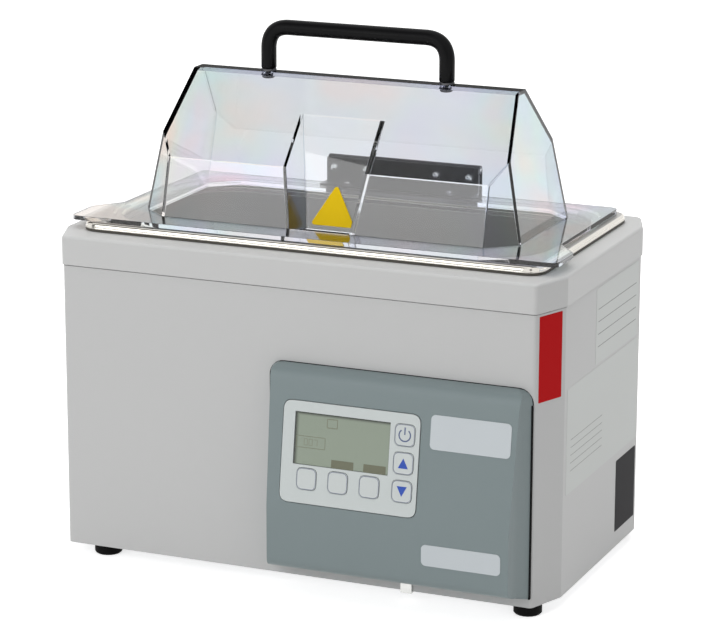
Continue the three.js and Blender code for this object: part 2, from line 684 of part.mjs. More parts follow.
// The inlet is drawn with its mouth facing up, then turned to the back
function addInlet() {
  const body = slab(roundedBox(INLET_BODY_WIDTH, INLET_BODY_HEIGHT, INLET_WALL), -INLET_BODY_DEPTH, 0);
  const flangeBody = slab(
    roundedBox(INLET_FLANGE_WIDTH, INLET_FLANGE_HEIGHT, INLET_WALL), FIT, FIT + INLET_FLANGE,
  );
  const mouth = slab(
    roundedBox(INLET_BODY_WIDTH - 2 * INLET_WALL, INLET_BODY_HEIGHT - 2 * INLET_WALL, INLET_WALL),
    INLET_WALL - INLET_BODY_DEPTH, FIT + INLET_FLANGE + OVERRUN,
  );
  const pinLength = INLET_BODY_DEPTH - INLET_PIN_RECESS;
  const pins = [-1, 0, 1].map((i) => move(
    block(INLET_PIN_WIDTH, INLET_PIN_HEIGHT, pinLength),
    i * INLET_PIN_PITCH, 0, pinLength / 2 - INLET_BODY_DEPTH + INLET_WALL / 2,
  ));
  const holes = [-1, 1].map((side) => move(
    rod(SMALL_SCREW_SHANK + FIT, -OVERRUN, OVERRUN), side * inletScrewPitch / 2, 0, 0,
  ));
  const neck = slab(roundedBox(INLET_BODY_WIDTH, INLET_BODY_HEIGHT, INLET_WALL), -FIT, FIT + INLET_FLANGE);
  const inlet = join(cut(join(body, neck, flangeBody), mouth, ...holes), ...pins);
  const place = [inletOffset, halfCase, caseBottom + INLET_RISE];
  add('power_inlet', faceBack(inlet), inletPlastic).position.set(...place);
  const screw = faceBack(panHeadScrew(
    SMALL_SCREW_HEAD, SMALL_SCREW_HEAD_HEIGHT, SMALL_SCREW_SHANK, INLET_SCREW_LENGTH,
  ));
  for (const [name, side] of [['left', -1], ['right', 1]]) {
    add(`inlet_screw_${name}`, screw, brightSteel).position.set(
      place[0] + side * inletScrewPitch / 2, halfCase + INLET_FLANGE + 2 * FIT, place[2],
    );
  }
}

const panelRight = CASE_WIDTH / 2 - CORNER_CUT_X - PANEL_SIDE_GAP;
const panelCentreX = panelRight - PANEL_WIDTH / 2;
const panelBottom = caseBottom + PANEL_FOOT_GAP;
const panelBack = -halfCase - FIT;
const slopeAngle = Math.atan2(
  PANEL_REACH - PANEL_SHOULDER_REACH,
  PANEL_HEIGHT - PANEL_SHOULDER_DROP - PANEL_CREASE_RISE,
);
const frameWidth = FRAME_LEFT_MARGIN + DISPLAY_WIDTH + KEY_GAP_X + KEY_WIDTH + FRAME_RIGHT_MARGIN;
const frameHeight = FRAME_FOOT_MARGIN + KEY_HEIGHT + KEY_GAP_Y + DISPLAY_HEIGHT + FRAME_TOP_MARGIN;

// Side profile of the housing: x is the reach from the case, y is the height
function panelProfile() {
  const chinCorner = new THREE.Vector2(PANEL_REACH, PANEL_CHIN_RISE);
  const chin = new THREE.QuadraticBezierCurve(
    chinCorner.clone().multiplyScalar(1 - PANEL_CHIN_ROUND / PANEL_REACH),
    chinCorner,
    new THREE.Vector2(PANEL_REACH, PANEL_CHIN_RISE + PANEL_CHIN_ROUND),
  );
  const shoulder = new THREE.Vector2(PANEL_SHOULDER_REACH, PANEL_HEIGHT - PANEL_SHOULDER_DROP);
  const brow = new THREE.QuadraticBezierCurve(
    shoulder,
    new THREE.Vector2(PANEL_SHOULDER_REACH - PANEL_TOP_REACH / 2, PANEL_HEIGHT - PANEL_TOP_REACH / 2),
    new THREE.Vector2(PANEL_TOP_REACH, PANEL_HEIGHT),
  );
  return [
    new THREE.Vector2(0, 0),
    ...chin.getPoints(SHORT_STEPS),
    new THREE.Vector2(PANEL_REACH, PANEL_CREASE_RISE),
    ...brow.getPoints(2 * SHORT_STEPS),
    new THREE.Vector2(0, PANEL_HEIGHT),
  ];
}

// Turns a profile into a bar across the panel, centred on its width
function panelBar(profile, width) {
  const shape = new THREE.Shape(profile);
  const bar = toSolid(new THREE.ExtrudeGeometry(shape, { depth: width, bevelEnabled: false }));
  return bar.translate([0, 0, -width / 2]).rotate([90, 0, -90]);
}

const slope = new THREE.Group();
slope.position.set(
  panelCentreX - PANEL_WIDTH / 2 + FRAME_PANEL_MARGIN,
  panelBack - PANEL_REACH,
  panelBottom + PANEL_CREASE_RISE,
);
slope.rotation.x = Math.PI / 2 - slopeAngle;

// Places a solid drawn on the sloping face into the housing's own frame
function onSlope(solid) {
  return solid.rotate([THREE.MathUtils.radToDeg(slope.rotation.x), 0, 0]).translate([
    slope.position.x - panelCentreX, -PANEL_REACH, PANEL_CREASE_RISE,
  ]);
}

const frameCentre = [frameWidth / 2, FRAME_RISE + frameHeight / 2];
const boardWidth = frameWidth - 2 * DISPLAY_BOARD_MARGIN;
const boardHeight = frameHeight - 2 * DISPLAY_BOARD_MARGIN;
const keyBack = -FRAME_SEAT - KEY_COLLAR_THICKNESS - KEY_STEM;
const boardTop = keyBack - KEY_TRAVEL - FIT - KEY_SWITCH_HEIGHT;
const displayX = FRAME_LEFT_MARGIN + DISPLAY_WIDTH / 2;
const displayY = FRAME_RISE + FRAME_FOOT_MARGIN + KEY_HEIGHT + KEY_GAP_Y + DISPLAY_HEIGHT / 2;
const softKeyY = FRAME_RISE + FRAME_FOOT_MARGIN + KEY_HEIGHT / 2;
const softKeyX = displayX - SOFT_KEY_SHIFT;
const softKeyPitch = (DISPLAY_WIDTH - 2 * KEY_INSET - KEY_WIDTH) / 2;
const columnX = frameWidth - FRAME_RIGHT_MARGIN - KEY_WIDTH / 2;
const columnPitch = (DISPLAY_HEIGHT + KEY_GAP_Y) / 2;
const keyPlaces = [
  ['key_soft_left', softKeyX - softKeyPitch, softKeyY],
  ['key_soft_middle', softKeyX, softKeyY],
  ['key_soft_right', softKeyX + softKeyPitch, softKeyY],
  ['key_power', columnX, softKeyY + 2 * columnPitch],
  ['key_up', columnX, softKeyY + columnPitch],
  ['key_down', columnX, softKeyY],
];

function addPanel() {
  const draftBox = (reach, draft) => ({
    outline: roundedBox(PANEL_WIDTH - 2 * draft, PANEL_HEIGHT, PANEL_CORNER_ROUND - draft / 2),
    z: reach,
  });
  const drafted = stack([
    draftBox(-OVERRUN, 0), draftBox(0, 0), draftBox(PANEL_SHOULDER_REACH, PANEL_DRAFT_NEAR),
    draftBox(PANEL_REACH + OVERRUN, PANEL_DRAFT_FAR),
  ]);
  const tapered = faceFront(drafted).translate([0, 0, PANEL_HEIGHT / 2]);
  const outside = panelBar(panelProfile(), PANEL_WIDTH + OVERRUN).intersect(tapered);
  const openBack = panelProfile().map(({ x, y }) => new THREE.Vector2(x > 0 ? x : -OVERRUN, y));
  const hollow = panelBar(
    inset(openBack, PANEL_WALL), PANEL_WIDTH - 2 * PANEL_DRAFT_FAR - 2 * PANEL_WALL,
  );
  const [frameX, frameY] = frameCentre;
  const plinth = onSlope(move(slab(
    roundedBox(frameWidth, frameHeight, FRAME_ROUND),
    -FRAME_SEAT - PANEL_WALL, -FRAME_SEAT,
  ), frameX, frameY, 0));
  const seat = onSlope(move(slab(
    roundedBox(frameWidth + 2 * FRAME_CLEARANCE, frameHeight + 2 * FRAME_CLEARANCE,
      FRAME_ROUND + FRAME_CLEARANCE),
    -FRAME_SEAT, OVERRUN,
  ), frameX, frameY, 0));
  const aperture = onSlope(move(slab(
    roundedBox(frameWidth - 2 * FRAME_LEDGE, frameHeight - 2 * FRAME_LEDGE, FRAME_LEDGE),
    -PANEL_REACH, OVERRUN,
  ), frameX, frameY, 0));
  const shell = join(cut(outside, hollow), plinth.intersect(outside));
  add('panel_housing', cut(shell, seat, aperture), panelPlastic)
    .position.set(panelCentreX, panelBack, panelBottom);

  const clipHeight = PANEL_FOOT_GAP + CLIP_SHEET;
  const clipFront = block(CLIP_WIDTH, CLIP_SHEET, clipHeight);
  const clipHook = move(
    block(CLIP_WIDTH, CLIP_HOOK, CLIP_SHEET),
    0, (CLIP_HOOK - CLIP_SHEET) / 2, (CLIP_SHEET - clipHeight) / 2,
  );
  add('panel_clip', join(clipFront, clipHook), coverPaint).position.set(
    panelCentreX + CLIP_OFFSET, -halfCase - FIT - CLIP_SHEET / 2,
    caseBottom - FIT - CLIP_SHEET + clipHeight / 2,
  );
}

function addKeypad() {
  group.add(slope);
  const [frameX, frameY] = frameCentre;
  const keyHole = slab(
    roundedBox(KEY_WIDTH + 2 * FIT, KEY_HEIGHT + 2 * FIT, KEY_ROUND + FIT), -OVERRUN, OVERRUN,
  );
  const frame = move(slab(
    roundedBox(frameWidth, frameHeight, FRAME_ROUND), FIT - FRAME_SEAT, FRAME_PROUD,
  ), frameX, frameY, 0);
  const window = move(block(DISPLAY_WIDTH, DISPLAY_HEIGHT, OVERRUN), displayX, displayY, 0);
  const holes = keyPlaces.map(([, x, y]) => move(keyHole, x, y, 0));
  const bosses = quadrants.map(([sx, sy]) => move(
    rod(BOSS_RADIUS, boardTop + FIT, 0),
    frameX + sx * (frameWidth / 2 - BOSS_INSET), frameY + sy * (frameHeight / 2 - BOSS_INSET), 0,
  ));
  add('keypad_frame', join(cut(frame, window, ...holes), ...bosses), framePlastic, slope);

  const glassTop = FRAME_PROUD - DISPLAY_SET_DOWN;
  const bodyTop = -FRAME_SEAT;
  const glass = move(
    block(DISPLAY_WIDTH - 2 * FIT, DISPLAY_HEIGHT - 2 * FIT, glassTop - bodyTop + DISPLAY_BODY),
    0, 0, (glassTop + bodyTop - DISPLAY_BODY) / 2,
  );
  const body = move(
    block(DISPLAY_WIDTH + 2 * DISPLAY_BORDER, DISPLAY_HEIGHT + 2 * DISPLAY_BORDER, DISPLAY_BODY),
    0, 0, bodyTop - DISPLAY_BODY / 2,
  );
  const legTop = bodyTop - DISPLAY_BODY / 2;
  const leg = move(
    block(DISPLAY_WIDTH / 2, DISPLAY_HEIGHT / 2, legTop - boardTop - FIT),
    0, 0, (legTop + boardTop + FIT) / 2,
  );
  add('lcd_module', move(join(glass, body, leg), displayX, displayY, 0), displayGlass, slope);

  const board = move(
    block(boardWidth, boardHeight, DISPLAY_BOARD_SHEET),
    frameX, frameY, boardTop - DISPLAY_BOARD_SHEET / 2,
  );
  const switches = keyPlaces.map(([, x, y]) => move(
    block(KEY_SWITCH, KEY_SWITCH, 2 * KEY_SWITCH_HEIGHT), x, y, boardTop,
  ));
  add('display_board', join(board, ...switches), boardGreen, slope);

  const cap = slab(
    roundedBox(KEY_WIDTH, KEY_HEIGHT, KEY_ROUND), -FRAME_SEAT - KEY_COLLAR_THICKNESS,
    FRAME_PROUD + KEY_PROUD,
  );
  const collar = slab(
    roundedBox(KEY_WIDTH + 2 * KEY_COLLAR, KEY_HEIGHT + 2 * KEY_COLLAR, KEY_ROUND),
    -FRAME_SEAT - KEY_COLLAR_THICKNESS, -FRAME_SEAT,
  );
  const stem = slab(
    roundedBox(KEY_SWITCH, KEY_SWITCH, KEY_SWITCH / 4), keyBack, -FRAME_SEAT - KEY_COLLAR_THICKNESS / 2,
  );
  const key = join(cap, collar, stem);
  for (const [name, x, y] of keyPlaces) {
    add(name, key, keyPlastic, slope).position.set(x, y, 0);
  }
}

// Corners of the convex body that lies behind every plane of a list
function planeBody(planes) {
  const corners = [];
  for (let i = 0; i < planes.length; i += 1) {
    for (let j = i + 1; j < planes.length; j += 1) {
      for (let k = j + 1; k < planes.length; k += 1) {
        const corner = meet(planes[i], planes[j], planes[k]);
        if (corner && planes.every((plane) => plane.distanceToPoint(corner) < ON_PLANE)) {
          corners.push(corner);
        }
      }
    }
  }
  return toSolid(new ConvexGeometry(corners));
}

function meet(a, b, c) {
  const bc = b.normal.clone().cross(c.normal);
  const volume = a.normal.dot(bc);
  if (Math.abs(volume) < NEARLY_PARALLEL) return null;
  return bc.multiplyScalar(-a.constant)
    .addScaledVector(c.normal.clone().cross(a.normal), -b.constant)
    .addScaledVector(a.normal.clone().cross(b.normal), -c.constant)
    .divideScalar(volume);
}

// A wall that stands at a reach from the lid's centre and leans inwards as it rises
function leaningPlane(turnDegrees, reach, leanDegrees) {
  const turn = THREE.MathUtils.degToRad(turnDegrees);
  const lean = THREE.MathUtils.degToRad(leanDegrees);
  const out = new THREE.Vector3(Math.cos(turn), Math.sin(turn), 0);
  const normal = out.clone().multiplyScalar(Math.cos(lean));
  normal.z = Math.sin(lean);
  const foot = out.multiplyScalar(reach).setZ(flangeTop);
  return new THREE.Plane().setFromNormalAndCoplanarPoint(normal, foot);
}

const RIGHT_ANGLE = 90;
const turns = [-1, 1];
const hoodEndReach = flangeWidth / 2 - HOOD_END_INSET;
const hoodWallReach = flangeDepth / 2 - HOOD_WALL_INSET;
const cornerTurn = THREE.MathUtils.degToRad(HOOD_CORNER_TURN);
const hoodCornerReach = hoodEndReach * Math.cos(cornerTurn) + hoodWallReach * Math.sin(cornerTurn)
  - HOOD_CORNER_CUT;
const kinkReach = hoodWallReach - HOOD_KINK_RISE * Math.tan(THREE.MathUtils.degToRad(HOOD_WALL_LEAN));
const roofPitch = Math.atan2(HOOD_HEIGHT - HOOD_KINK_RISE, kinkReach - RIDGE_REACH);

// The hood as a solid, with every face moved inwards by one sheet for its inside
function hoodBody(sheet, foot) {
  const planes = turns.flatMap((side) => [
    leaningPlane(RIGHT_ANGLE - side * RIGHT_ANGLE, hoodEndReach, HOOD_END_LEAN),
    leaningPlane(side * RIGHT_ANGLE, hoodWallReach, HOOD_WALL_LEAN),
    ...[HOOD_CORNER_TURN, 2 * RIGHT_ANGLE - HOOD_CORNER_TURN].map(
      (turn) => leaningPlane(side * turn, hoodCornerReach, HOOD_CORNER_LEAN),
    ),
    roofPlane(side),
  ]);
  planes.push(new THREE.Plane(new THREE.Vector3(0, 0, 1), -ridgeTop));
  planes.forEach((plane) => { plane.constant += sheet; });
  planes.push(new THREE.Plane(new THREE.Vector3(0, 0, -1), foot));
  return planeBody(planes);
}

function roofPlane(side) {
  const normal = new THREE.Vector3(0, side * Math.sin(roofPitch), Math.cos(roofPitch));
  const edge = new THREE.Vector3(0, side * RIDGE_REACH, ridgeTop);
  return new THREE.Plane().setFromNormalAndCoplanarPoint(normal, edge);
}

// The space of the front pocket: a back that leans away and sides that flare to the front
function pocketBody(sheet, foot, frontY) {
  const lean = Math.tan(THREE.MathUtils.degToRad(POCKET_LEAN));
  const flare = Math.tan(THREE.MathUtils.degToRad(POCKET_FLARE));
  const layers = Array.from({ length: POCKET_STEPS + 1 }, (_, i) => {
    const z = foot + (ridgeTop - foot) * (i / POCKET_STEPS);
    const rise = z - flangeTop;
    const reach = sheet + POCKET_FOOT_REACH
      + (POCKET_TOP_REACH - POCKET_FOOT_REACH) * (rise / POCKET_TOP_RISE);
    const back = sheet + POCKET_FOOT_SETBACK - hoodWallReach + rise * lean;
    const front = reach + flare * (back - frontY);
    const outline = [[-front, frontY], [front, frontY], [reach, back], [-reach, back]];
    return { outline: outline.map(([x, y]) => new THREE.Vector2(x, y)), z };
  });
  return stack(layers);
}

function lidOutline() {
  const [x, y] = [flangeWidth / 2, flangeDepth / 2];
  const tabX = x + TAB_REACH;
  const corners = [
    [tabX, -y], [tabX, TAB_LENGTH - y], [x, TAB_LENGTH + TAB_TAPER - y], [x, y],
    [-x, y], [-x, TAB_LENGTH + TAB_TAPER - y], [-tabX, TAB_LENGTH - y], [-tabX, -y],
  ].map(([px, py]) => new THREE.Vector2(px, py));
  return soften(corners, FLANGE_ROUND);
}

function addLid() {
  const shape = new THREE.Shape(lidOutline());
  const flange = toSolid(new THREE.ExtrudeGeometry(shape, { depth: LID_SHEET, bevelEnabled: false }))
    .translate([0, 0, flangeBottom]);
  const wallFoot = -hoodWallReach;
  const pocket = pocketBody(0, flangeTop, -flangeDepth);
  const notch = pocketBody(0, flangeBottom - OVERRUN, wallFoot)
    .intersect(move(block(flangeWidth, flangeDepth, 2 * OVERRUN), 0, 0, flangeBottom));
  const pocketSkin = pocketBody(LID_SHEET, flangeBottom - OVERRUN, -flangeDepth);
  const inside = cut(hoodBody(LID_SHEET, flangeBottom - OVERRUN), pocketSkin);
  const screwHoles = turns.map((side) => move(
    rod(HANDLE_SCREW_SHANK + SCREW_CLEARANCE, -LID_SHEET - OVERRUN, OVERRUN),
    side * HANDLE_SPAN / 2, 0, ridgeTop,
  ));
  const bracketHoles = turns.map((side) => move(
    rod(SMALL_SCREW_SHANK + FIT, FIT - BRACKET_SCREW_LENGTH - 2 * FIT, OVERRUN),
    side * bracketScrewOffset, bracketScrewY - rimSetback, flangeTop,
  ));
  const hood = cut(join(hoodBody(0, flangeBottom), flange), inside, pocket, notch);
  add('lid_hood', cut(hood, ...screwHoles, ...bracketHoles), clearPlastic).position.set(0, rimSetback, 0);
}

function addHandle() {
  const half = HANDLE_SPAN / 2;
  const top = HANDLE_RISE - HANDLE_RADIUS;
  const bendAt = (side, from, to) => new THREE.QuadraticBezierCurve(
    new THREE.Vector2(side * half - side * from, top - to),
    new THREE.Vector2(side * half, top),
    new THREE.Vector2(side * half - side * to, top - from),
  );
  const bends = [bendAt(-1, 0, HANDLE_BEND), bendAt(1, HANDLE_BEND, 0)].flatMap((curve) => (
    curve.getPoints(HANDLE_BEND_STEPS).map((point, i) => (
      { point, along: curve.getTangent(i / HANDLE_BEND_STEPS) }
    ))
  ));
  const stations = [
    { point: new THREE.Vector2(-half, 0), along: new THREE.Vector2(0, 1) },
    ...bends,
    { point: new THREE.Vector2(half, 0), along: new THREE.Vector2(0, -1) },
  ];
  const section = Array.from({ length: ROUND_STEPS }, (_, i) => 2 * Math.PI * (i / ROUND_STEPS));
  const bar = skin(stations.map(({ point, along }) => section.map((turn) => new THREE.Vector3(
    point.x - along.y * HANDLE_RADIUS * Math.cos(turn),
    HANDLE_RADIUS * Math.sin(turn),
    point.y + along.x * HANDLE_RADIUS * Math.cos(turn),
  ))));
  const bores = turns.map((side) => move(
    rod(HANDLE_SCREW_SHANK + SCREW_CLEARANCE, -OVERRUN, HANDLE_BORE_DEPTH), side * half, 0, 0,
  ));
  const washerBottom = ridgeTop + FIT;
  const legBottom = washerBottom + HANDLE_WASHER_THICKNESS + FIT;
  add('lid_handle', cut(bar, ...bores), handlePlastic).position.set(0, rimSetback, legBottom);

  const washer = cut(
    rod(HANDLE_RADIUS, 0, HANDLE_WASHER_THICKNESS),
    rod(HANDLE_SCREW_SHANK + SCREW_CLEARANCE, -OVERRUN, OVERRUN),
  );
  const headTop = ridgeTop - LID_SHEET - FIT;
  const screw = panHeadScrew(
    HANDLE_SCREW_HEAD, HANDLE_SCREW_HEAD_HEIGHT, HANDLE_SCREW_SHANK,
    legBottom + HANDLE_BORE_DEPTH - 2 * FIT - headTop,
  ).rotate([180, 0, 0]);
  for (const [name, side] of [['left', -1], ['right', 1]]) {
    add(`handle_washer_${name}`, washer, brightSteel).position.set(side * half, rimSetback, washerBottom);
    add(`handle_screw_${name}`, screw, brightSteel).position.set(side * half, rimSetback, headTop);
  }
}

const bracketFront = rimSetback + flangeDepth / 2 - BRACKET_SHEET;
const bracketBottom = flangeTop + FIT;
const bracketTop = bracketBottom + BRACKET_RISE;
const leafFront = bracketFront + BRACKET_SHEET + FIT;
const caseLeafBack = rimSetback + rimDepth / 2 + FIT + LEAF_SHEET;
const knuckleRadius = (caseLeafBack - leafFront) / 2;
const pinY = leafFront + knuckleRadius;
const pinZ = bracketTop + KNUCKLE_RISE - knuckleRadius;
const nutZ = bracketTop - NUT_DROP;
const caseScrewY = caseLeafBack + CASE_LEAF_FOOT / 2;
const bracketScrewY = bracketFront - BRACKET_FOOT / 2;
const nutOffsets = [NUT_OUTER_INSET, NUT_INNER_INSET].flatMap(
  (insetFromEnd) => [insetFromEnd - HINGE_WIDTH / 2, HINGE_WIDTH / 2 - insetFromEnd],
).sort((a, b) => a - b);
const caseScrewOffset = HINGE_WIDTH / 2 - CASE_SCREW_INSET;
const bracketScrewOffset = HINGE_WIDTH / 2 - BRACKET_SCREW_INSET;
const boltHoles = (radius) => nutOffsets.map((x) => move(
  faceBack(rod(radius, -OVERRUN, OVERRUN)), x, leafFront, nutZ,
));

// One row of knuckles on the pin's line, every second place taken
function knuckles(first) {
  const pitch = HINGE_WIDTH / KNUCKLE_COUNT;
  const rolls = [];
  for (let i = first; i < KNUCKLE_COUNT; i += 2) {
    const low = i * pitch - HINGE_WIDTH / 2 + FIT / 2;
    rolls.push(lieAlongX(rod(knuckleRadius, low, low + pitch - FIT)).translate([0, pinY, pinZ]));
  }
  return rolls;
}

const pinBore = () => lieAlongX(rod(PIN_RADIUS + PIN_CLEARANCE, -HINGE_WIDTH, HINGE_WIDTH))
  .translate([0, pinY, pinZ]);

// Room for the other leaf's knuckles, cut out of a leaf's edge
function knuckleGaps(first) {
  const pitch = HINGE_WIDTH / KNUCKLE_COUNT;
  const room = 2 * (knuckleRadius + FIT);
  const gaps = [];
  for (let i = first; i < KNUCKLE_COUNT; i += 2) {
    const middle = (i + 1 / 2) * pitch - HINGE_WIDTH / 2;
    gaps.push(move(block(pitch + FIT, room, room), middle, pinY, pinZ));
  }
  return gaps;
}

function addHinge() {
  const upright = move(
    block(HINGE_WIDTH, BRACKET_SHEET, BRACKET_RISE),
    0, bracketFront + BRACKET_SHEET / 2, bracketBottom + BRACKET_RISE / 2,
  );
  const foot = move(
    block(HINGE_WIDTH, BRACKET_FOOT, BRACKET_SHEET),
    0, bracketFront + BRACKET_SHEET - BRACKET_FOOT / 2, bracketBottom + BRACKET_SHEET / 2,
  );
  const footHoles = turns.map((side) => move(
    rod(SMALL_SCREW_SHANK + FIT, -OVERRUN, OVERRUN),
    side * bracketScrewOffset, bracketScrewY, bracketBottom,
  ));
  const faceHoles = turns.map((side) => move(
    faceFront(rod(BRACKET_HOLE, -BRACKET_SHEET - OVERRUN, OVERRUN)),
    side * (HINGE_WIDTH / 2 - BRACKET_HOLE_INSET), bracketFront, nutZ,
  ));
  const corner = slab(roundedBox(HINGE_WIDTH, 2 * BRACKET_RISE, BRACKET_ROUND), -OVERRUN, OVERRUN);
  const facePlate = move(faceBack(corner), 0, bracketFront, bracketBottom);
  const bracket = cut(
    join(upright.intersect(facePlate), foot),
    ...boltHoles(BOLT_RADIUS + FIT), ...faceHoles, ...footHoles,
  );
  add('lid_bracket', bracket, darkSteel);

  const lidLeaf = move(
    block(HINGE_WIDTH, LEAF_SHEET, LEAF_DROP), 0, leafFront + LEAF_SHEET / 2, pinZ - LEAF_DROP / 2,
  );
  add('hinge_lid_leaf', cut(
    join(cut(lidLeaf, ...knuckleGaps(0)), ...knuckles(1)), pinBore(), ...boltHoles(BOLT_RADIUS + FIT),
  ), darkSteel);

  const leafBottom = coverTop + FIT;
  const caseLeaf = move(
    block(HINGE_WIDTH, LEAF_SHEET, pinZ - leafBottom),
    0, caseLeafBack - LEAF_SHEET / 2, (pinZ + leafBottom) / 2,
  );
  const caseFoot = move(
    block(HINGE_WIDTH, CASE_LEAF_FOOT + LEAF_SHEET, LEAF_SHEET),
    0, caseLeafBack + (CASE_LEAF_FOOT - LEAF_SHEET) / 2, leafBottom + LEAF_SHEET / 2,
  );
  const caseHoles = turns.map((side) => move(
    rod(SMALL_SCREW_SHANK + FIT, -OVERRUN, OVERRUN), side * caseScrewOffset, caseScrewY, leafBottom,
  ));
  add('hinge_case_leaf', cut(
    join(cut(caseLeaf, ...knuckleGaps(1)), caseFoot, ...knuckles(0)), pinBore(), ...caseHoles,
  ), darkSteel);

  const pin = lieAlongX(rod(PIN_RADIUS, -HINGE_WIDTH / 2, HINGE_WIDTH / 2));
  add('hinge_pin', pin, brightSteel).position.set(0, pinY, pinZ);

  const screw = (length) => panHeadScrew(
    SMALL_SCREW_HEAD - FIT, SMALL_SCREW_HEAD_HEIGHT, SMALL_SCREW_SHANK, length,
  );
  const through = LEAF_SHEET + COVER_WALL / 2;
  const bracketShank = BRACKET_SHEET + BRACKET_SCREW_LENGTH;
  for (const [name, side] of [['left', -1], ['right', 1]]) {
    add(`hinge_screw_${name}`, screw(through), brightSteel)
      .position.set(side * caseScrewOffset, caseScrewY, leafBottom + LEAF_SHEET + FIT);
    add(`bracket_screw_${name}`, screw(bracketShank), brightSteel)
      .position.set(side * bracketScrewOffset, bracketScrewY, bracketBottom + BRACKET_SHEET + FIT);
  }
}

// A dome nut with its bolt, drawn standing on the bracket's face
function addNuts() {
  const grip = BRACKET_SHEET + LEAF_SHEET + 2 * FIT;
  const hexagon = rod(NUT_RADIUS, FIT, FIT + NUT_HEIGHT, 6);
  const dome = turned([
    [0, FIT + NUT_HEIGHT / 2], [NUT_DOME, FIT + NUT_HEIGHT / 2], [NUT_DOME, FIT + NUT_HEIGHT],
    [NUT_DOME * Math.cos(Math.PI / 6), FIT + NUT_HEIGHT + NUT_DOME / 2],
    [NUT_DOME / 2, FIT + NUT_HEIGHT + NUT_DOME * Math.cos(Math.PI / 6)],
    [0, FIT + NUT_HEIGHT + NUT_DOME],
  ]);
  const bolt = rod(BOLT_RADIUS, -grip - BOLT_HEAD_HEIGHT / 2, FIT + NUT_HEIGHT / 2, SCREW_STEPS);
  const head = rod(BOLT_HEAD, -grip - BOLT_HEAD_HEIGHT, -grip, SCREW_STEPS);
  const nut = faceFront(join(hexagon, dome, bolt, head));
  nutOffsets.forEach((x, i) => {
    add(`dome_nut_${i + 1}`, nut, brightSteel).position.set(x, bracketFront, nutZ);
  });
}

addCase();
addBase();
addCover();
addTank();
addPowerBoard();
addInlet();
addPanel();
addKeypad();
addLid();
addHandle();
addHinge();
addNuts();

// Stands the part on the origin, under the middle of its overall box
group.updateMatrixWorld(true);
const bounds = new THREE.Box3().setFromObject(group, true);
const middle = bounds.getCenter(new THREE.Vector3());
group.position.set(-middle.x, -middle.y, -bounds.min.z);

export default group;
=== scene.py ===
import math

import bmesh
import bpy
from mathutils import Matrix, Quaternion, Vector
from mathutils.bvhtree import BVHTree


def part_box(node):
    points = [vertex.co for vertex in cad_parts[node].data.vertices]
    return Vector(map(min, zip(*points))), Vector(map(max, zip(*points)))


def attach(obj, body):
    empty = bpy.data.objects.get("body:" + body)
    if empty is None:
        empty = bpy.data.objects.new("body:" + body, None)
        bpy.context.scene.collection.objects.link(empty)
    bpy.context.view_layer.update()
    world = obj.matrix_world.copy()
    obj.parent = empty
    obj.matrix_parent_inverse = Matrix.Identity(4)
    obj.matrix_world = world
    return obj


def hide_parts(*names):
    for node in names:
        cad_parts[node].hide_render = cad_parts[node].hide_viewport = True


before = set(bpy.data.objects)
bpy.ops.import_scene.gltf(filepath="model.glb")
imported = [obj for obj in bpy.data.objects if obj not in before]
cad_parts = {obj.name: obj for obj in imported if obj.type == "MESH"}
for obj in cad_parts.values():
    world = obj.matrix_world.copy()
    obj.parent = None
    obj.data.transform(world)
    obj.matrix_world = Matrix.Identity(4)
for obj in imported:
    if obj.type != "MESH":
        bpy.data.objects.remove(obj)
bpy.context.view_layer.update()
MM = 0.001

# The view
# The bath is seen from its front right corner, from a little above the lid, through a long lens.
# The camera's place and turn come from the straight edges of the case, the cover and the tank's rim.
LENS_PIXELS = 3104.0
PHOTO_WIDTH_PIXELS = 713
SENSOR_WIDTH = 36.0
CAMERA_PLACE = Vector((0.7968, -1.8520, 0.6904))
CAMERA_AZIMUTH = math.radians(23.15)
CAMERA_ELEVATION = math.radians(14.72)
CAMERA_ROLL = 0.0015
CAMERA_NEAR = 0.05
CAMERA_FAR = 60.0

towards_camera = Vector((
    math.sin(CAMERA_AZIMUTH) * math.cos(CAMERA_ELEVATION),
    -math.cos(CAMERA_AZIMUTH) * math.cos(CAMERA_ELEVATION),
    math.sin(CAMERA_ELEVATION),
))
camera_data = bpy.data.cameras.new("camera")
camera_data.sensor_width = SENSOR_WIDTH
camera_data.lens = SENSOR_WIDTH * LENS_PIXELS / PHOTO_WIDTH_PIXELS
camera_data.clip_start = CAMERA_NEAR
camera_data.clip_end = CAMERA_FAR
camera = bpy.data.objects.new("camera", camera_data)
camera.location = CAMERA_PLACE
camera.rotation_mode = "QUATERNION"
looking = (-towards_camera).to_track_quat("-Z", "Y")
camera.rotation_quaternion = looking @ Quaternion((0, 0, 1), CAMERA_ROLL)
bpy.context.scene.collection.objects.link(camera)
bpy.context.scene.camera = camera
bpy.context.scene.view_settings.view_transform = "Standard"


# The studio
# A pale floor that runs back into a white surround, with wide soft lamps above, in front, beside
# and behind. Out of view, dark flags give steel and clear plastic their dark lines, as in a product
# studio, and a glowing card gives them a pale sheen.
FLOOR_REACH = 12.0
FLOOR_SHADE = (0.80, 0.80, 0.80, 1)
FLOOR_GLOW = 0.68
WHITE = (1, 1, 1, 1)
SURROUND_LIGHT = 0.48
LAMPS = {
    "top_softbox": ((0.0, 0.2, 2.3), (2.4, 1.8), 24.0),
    "front_softbox": ((-1.0, -2.6, 1.4), (2.0, 1.6), 31.0),
    "right_softbox": ((2.4, 1.9, 0.9), (1.4, 1.4), 4.5),
    "back_softbox": ((-1.2, 2.2, 1.6), (1.6, 1.2), 7.0),
}
LAMP_AIM = Vector((0, 0, 0.15))
FLAGS = {
    "flag_right": ((1.25, -2.35, 0.5), (0.5, 1.8)),
    "flag_left": ((-1.9, -1.5, 0.7), (0.5, 1.8)),
    "flag_above": ((-1.0, -1.0, 2.4), (2.0, 1.3)),
}
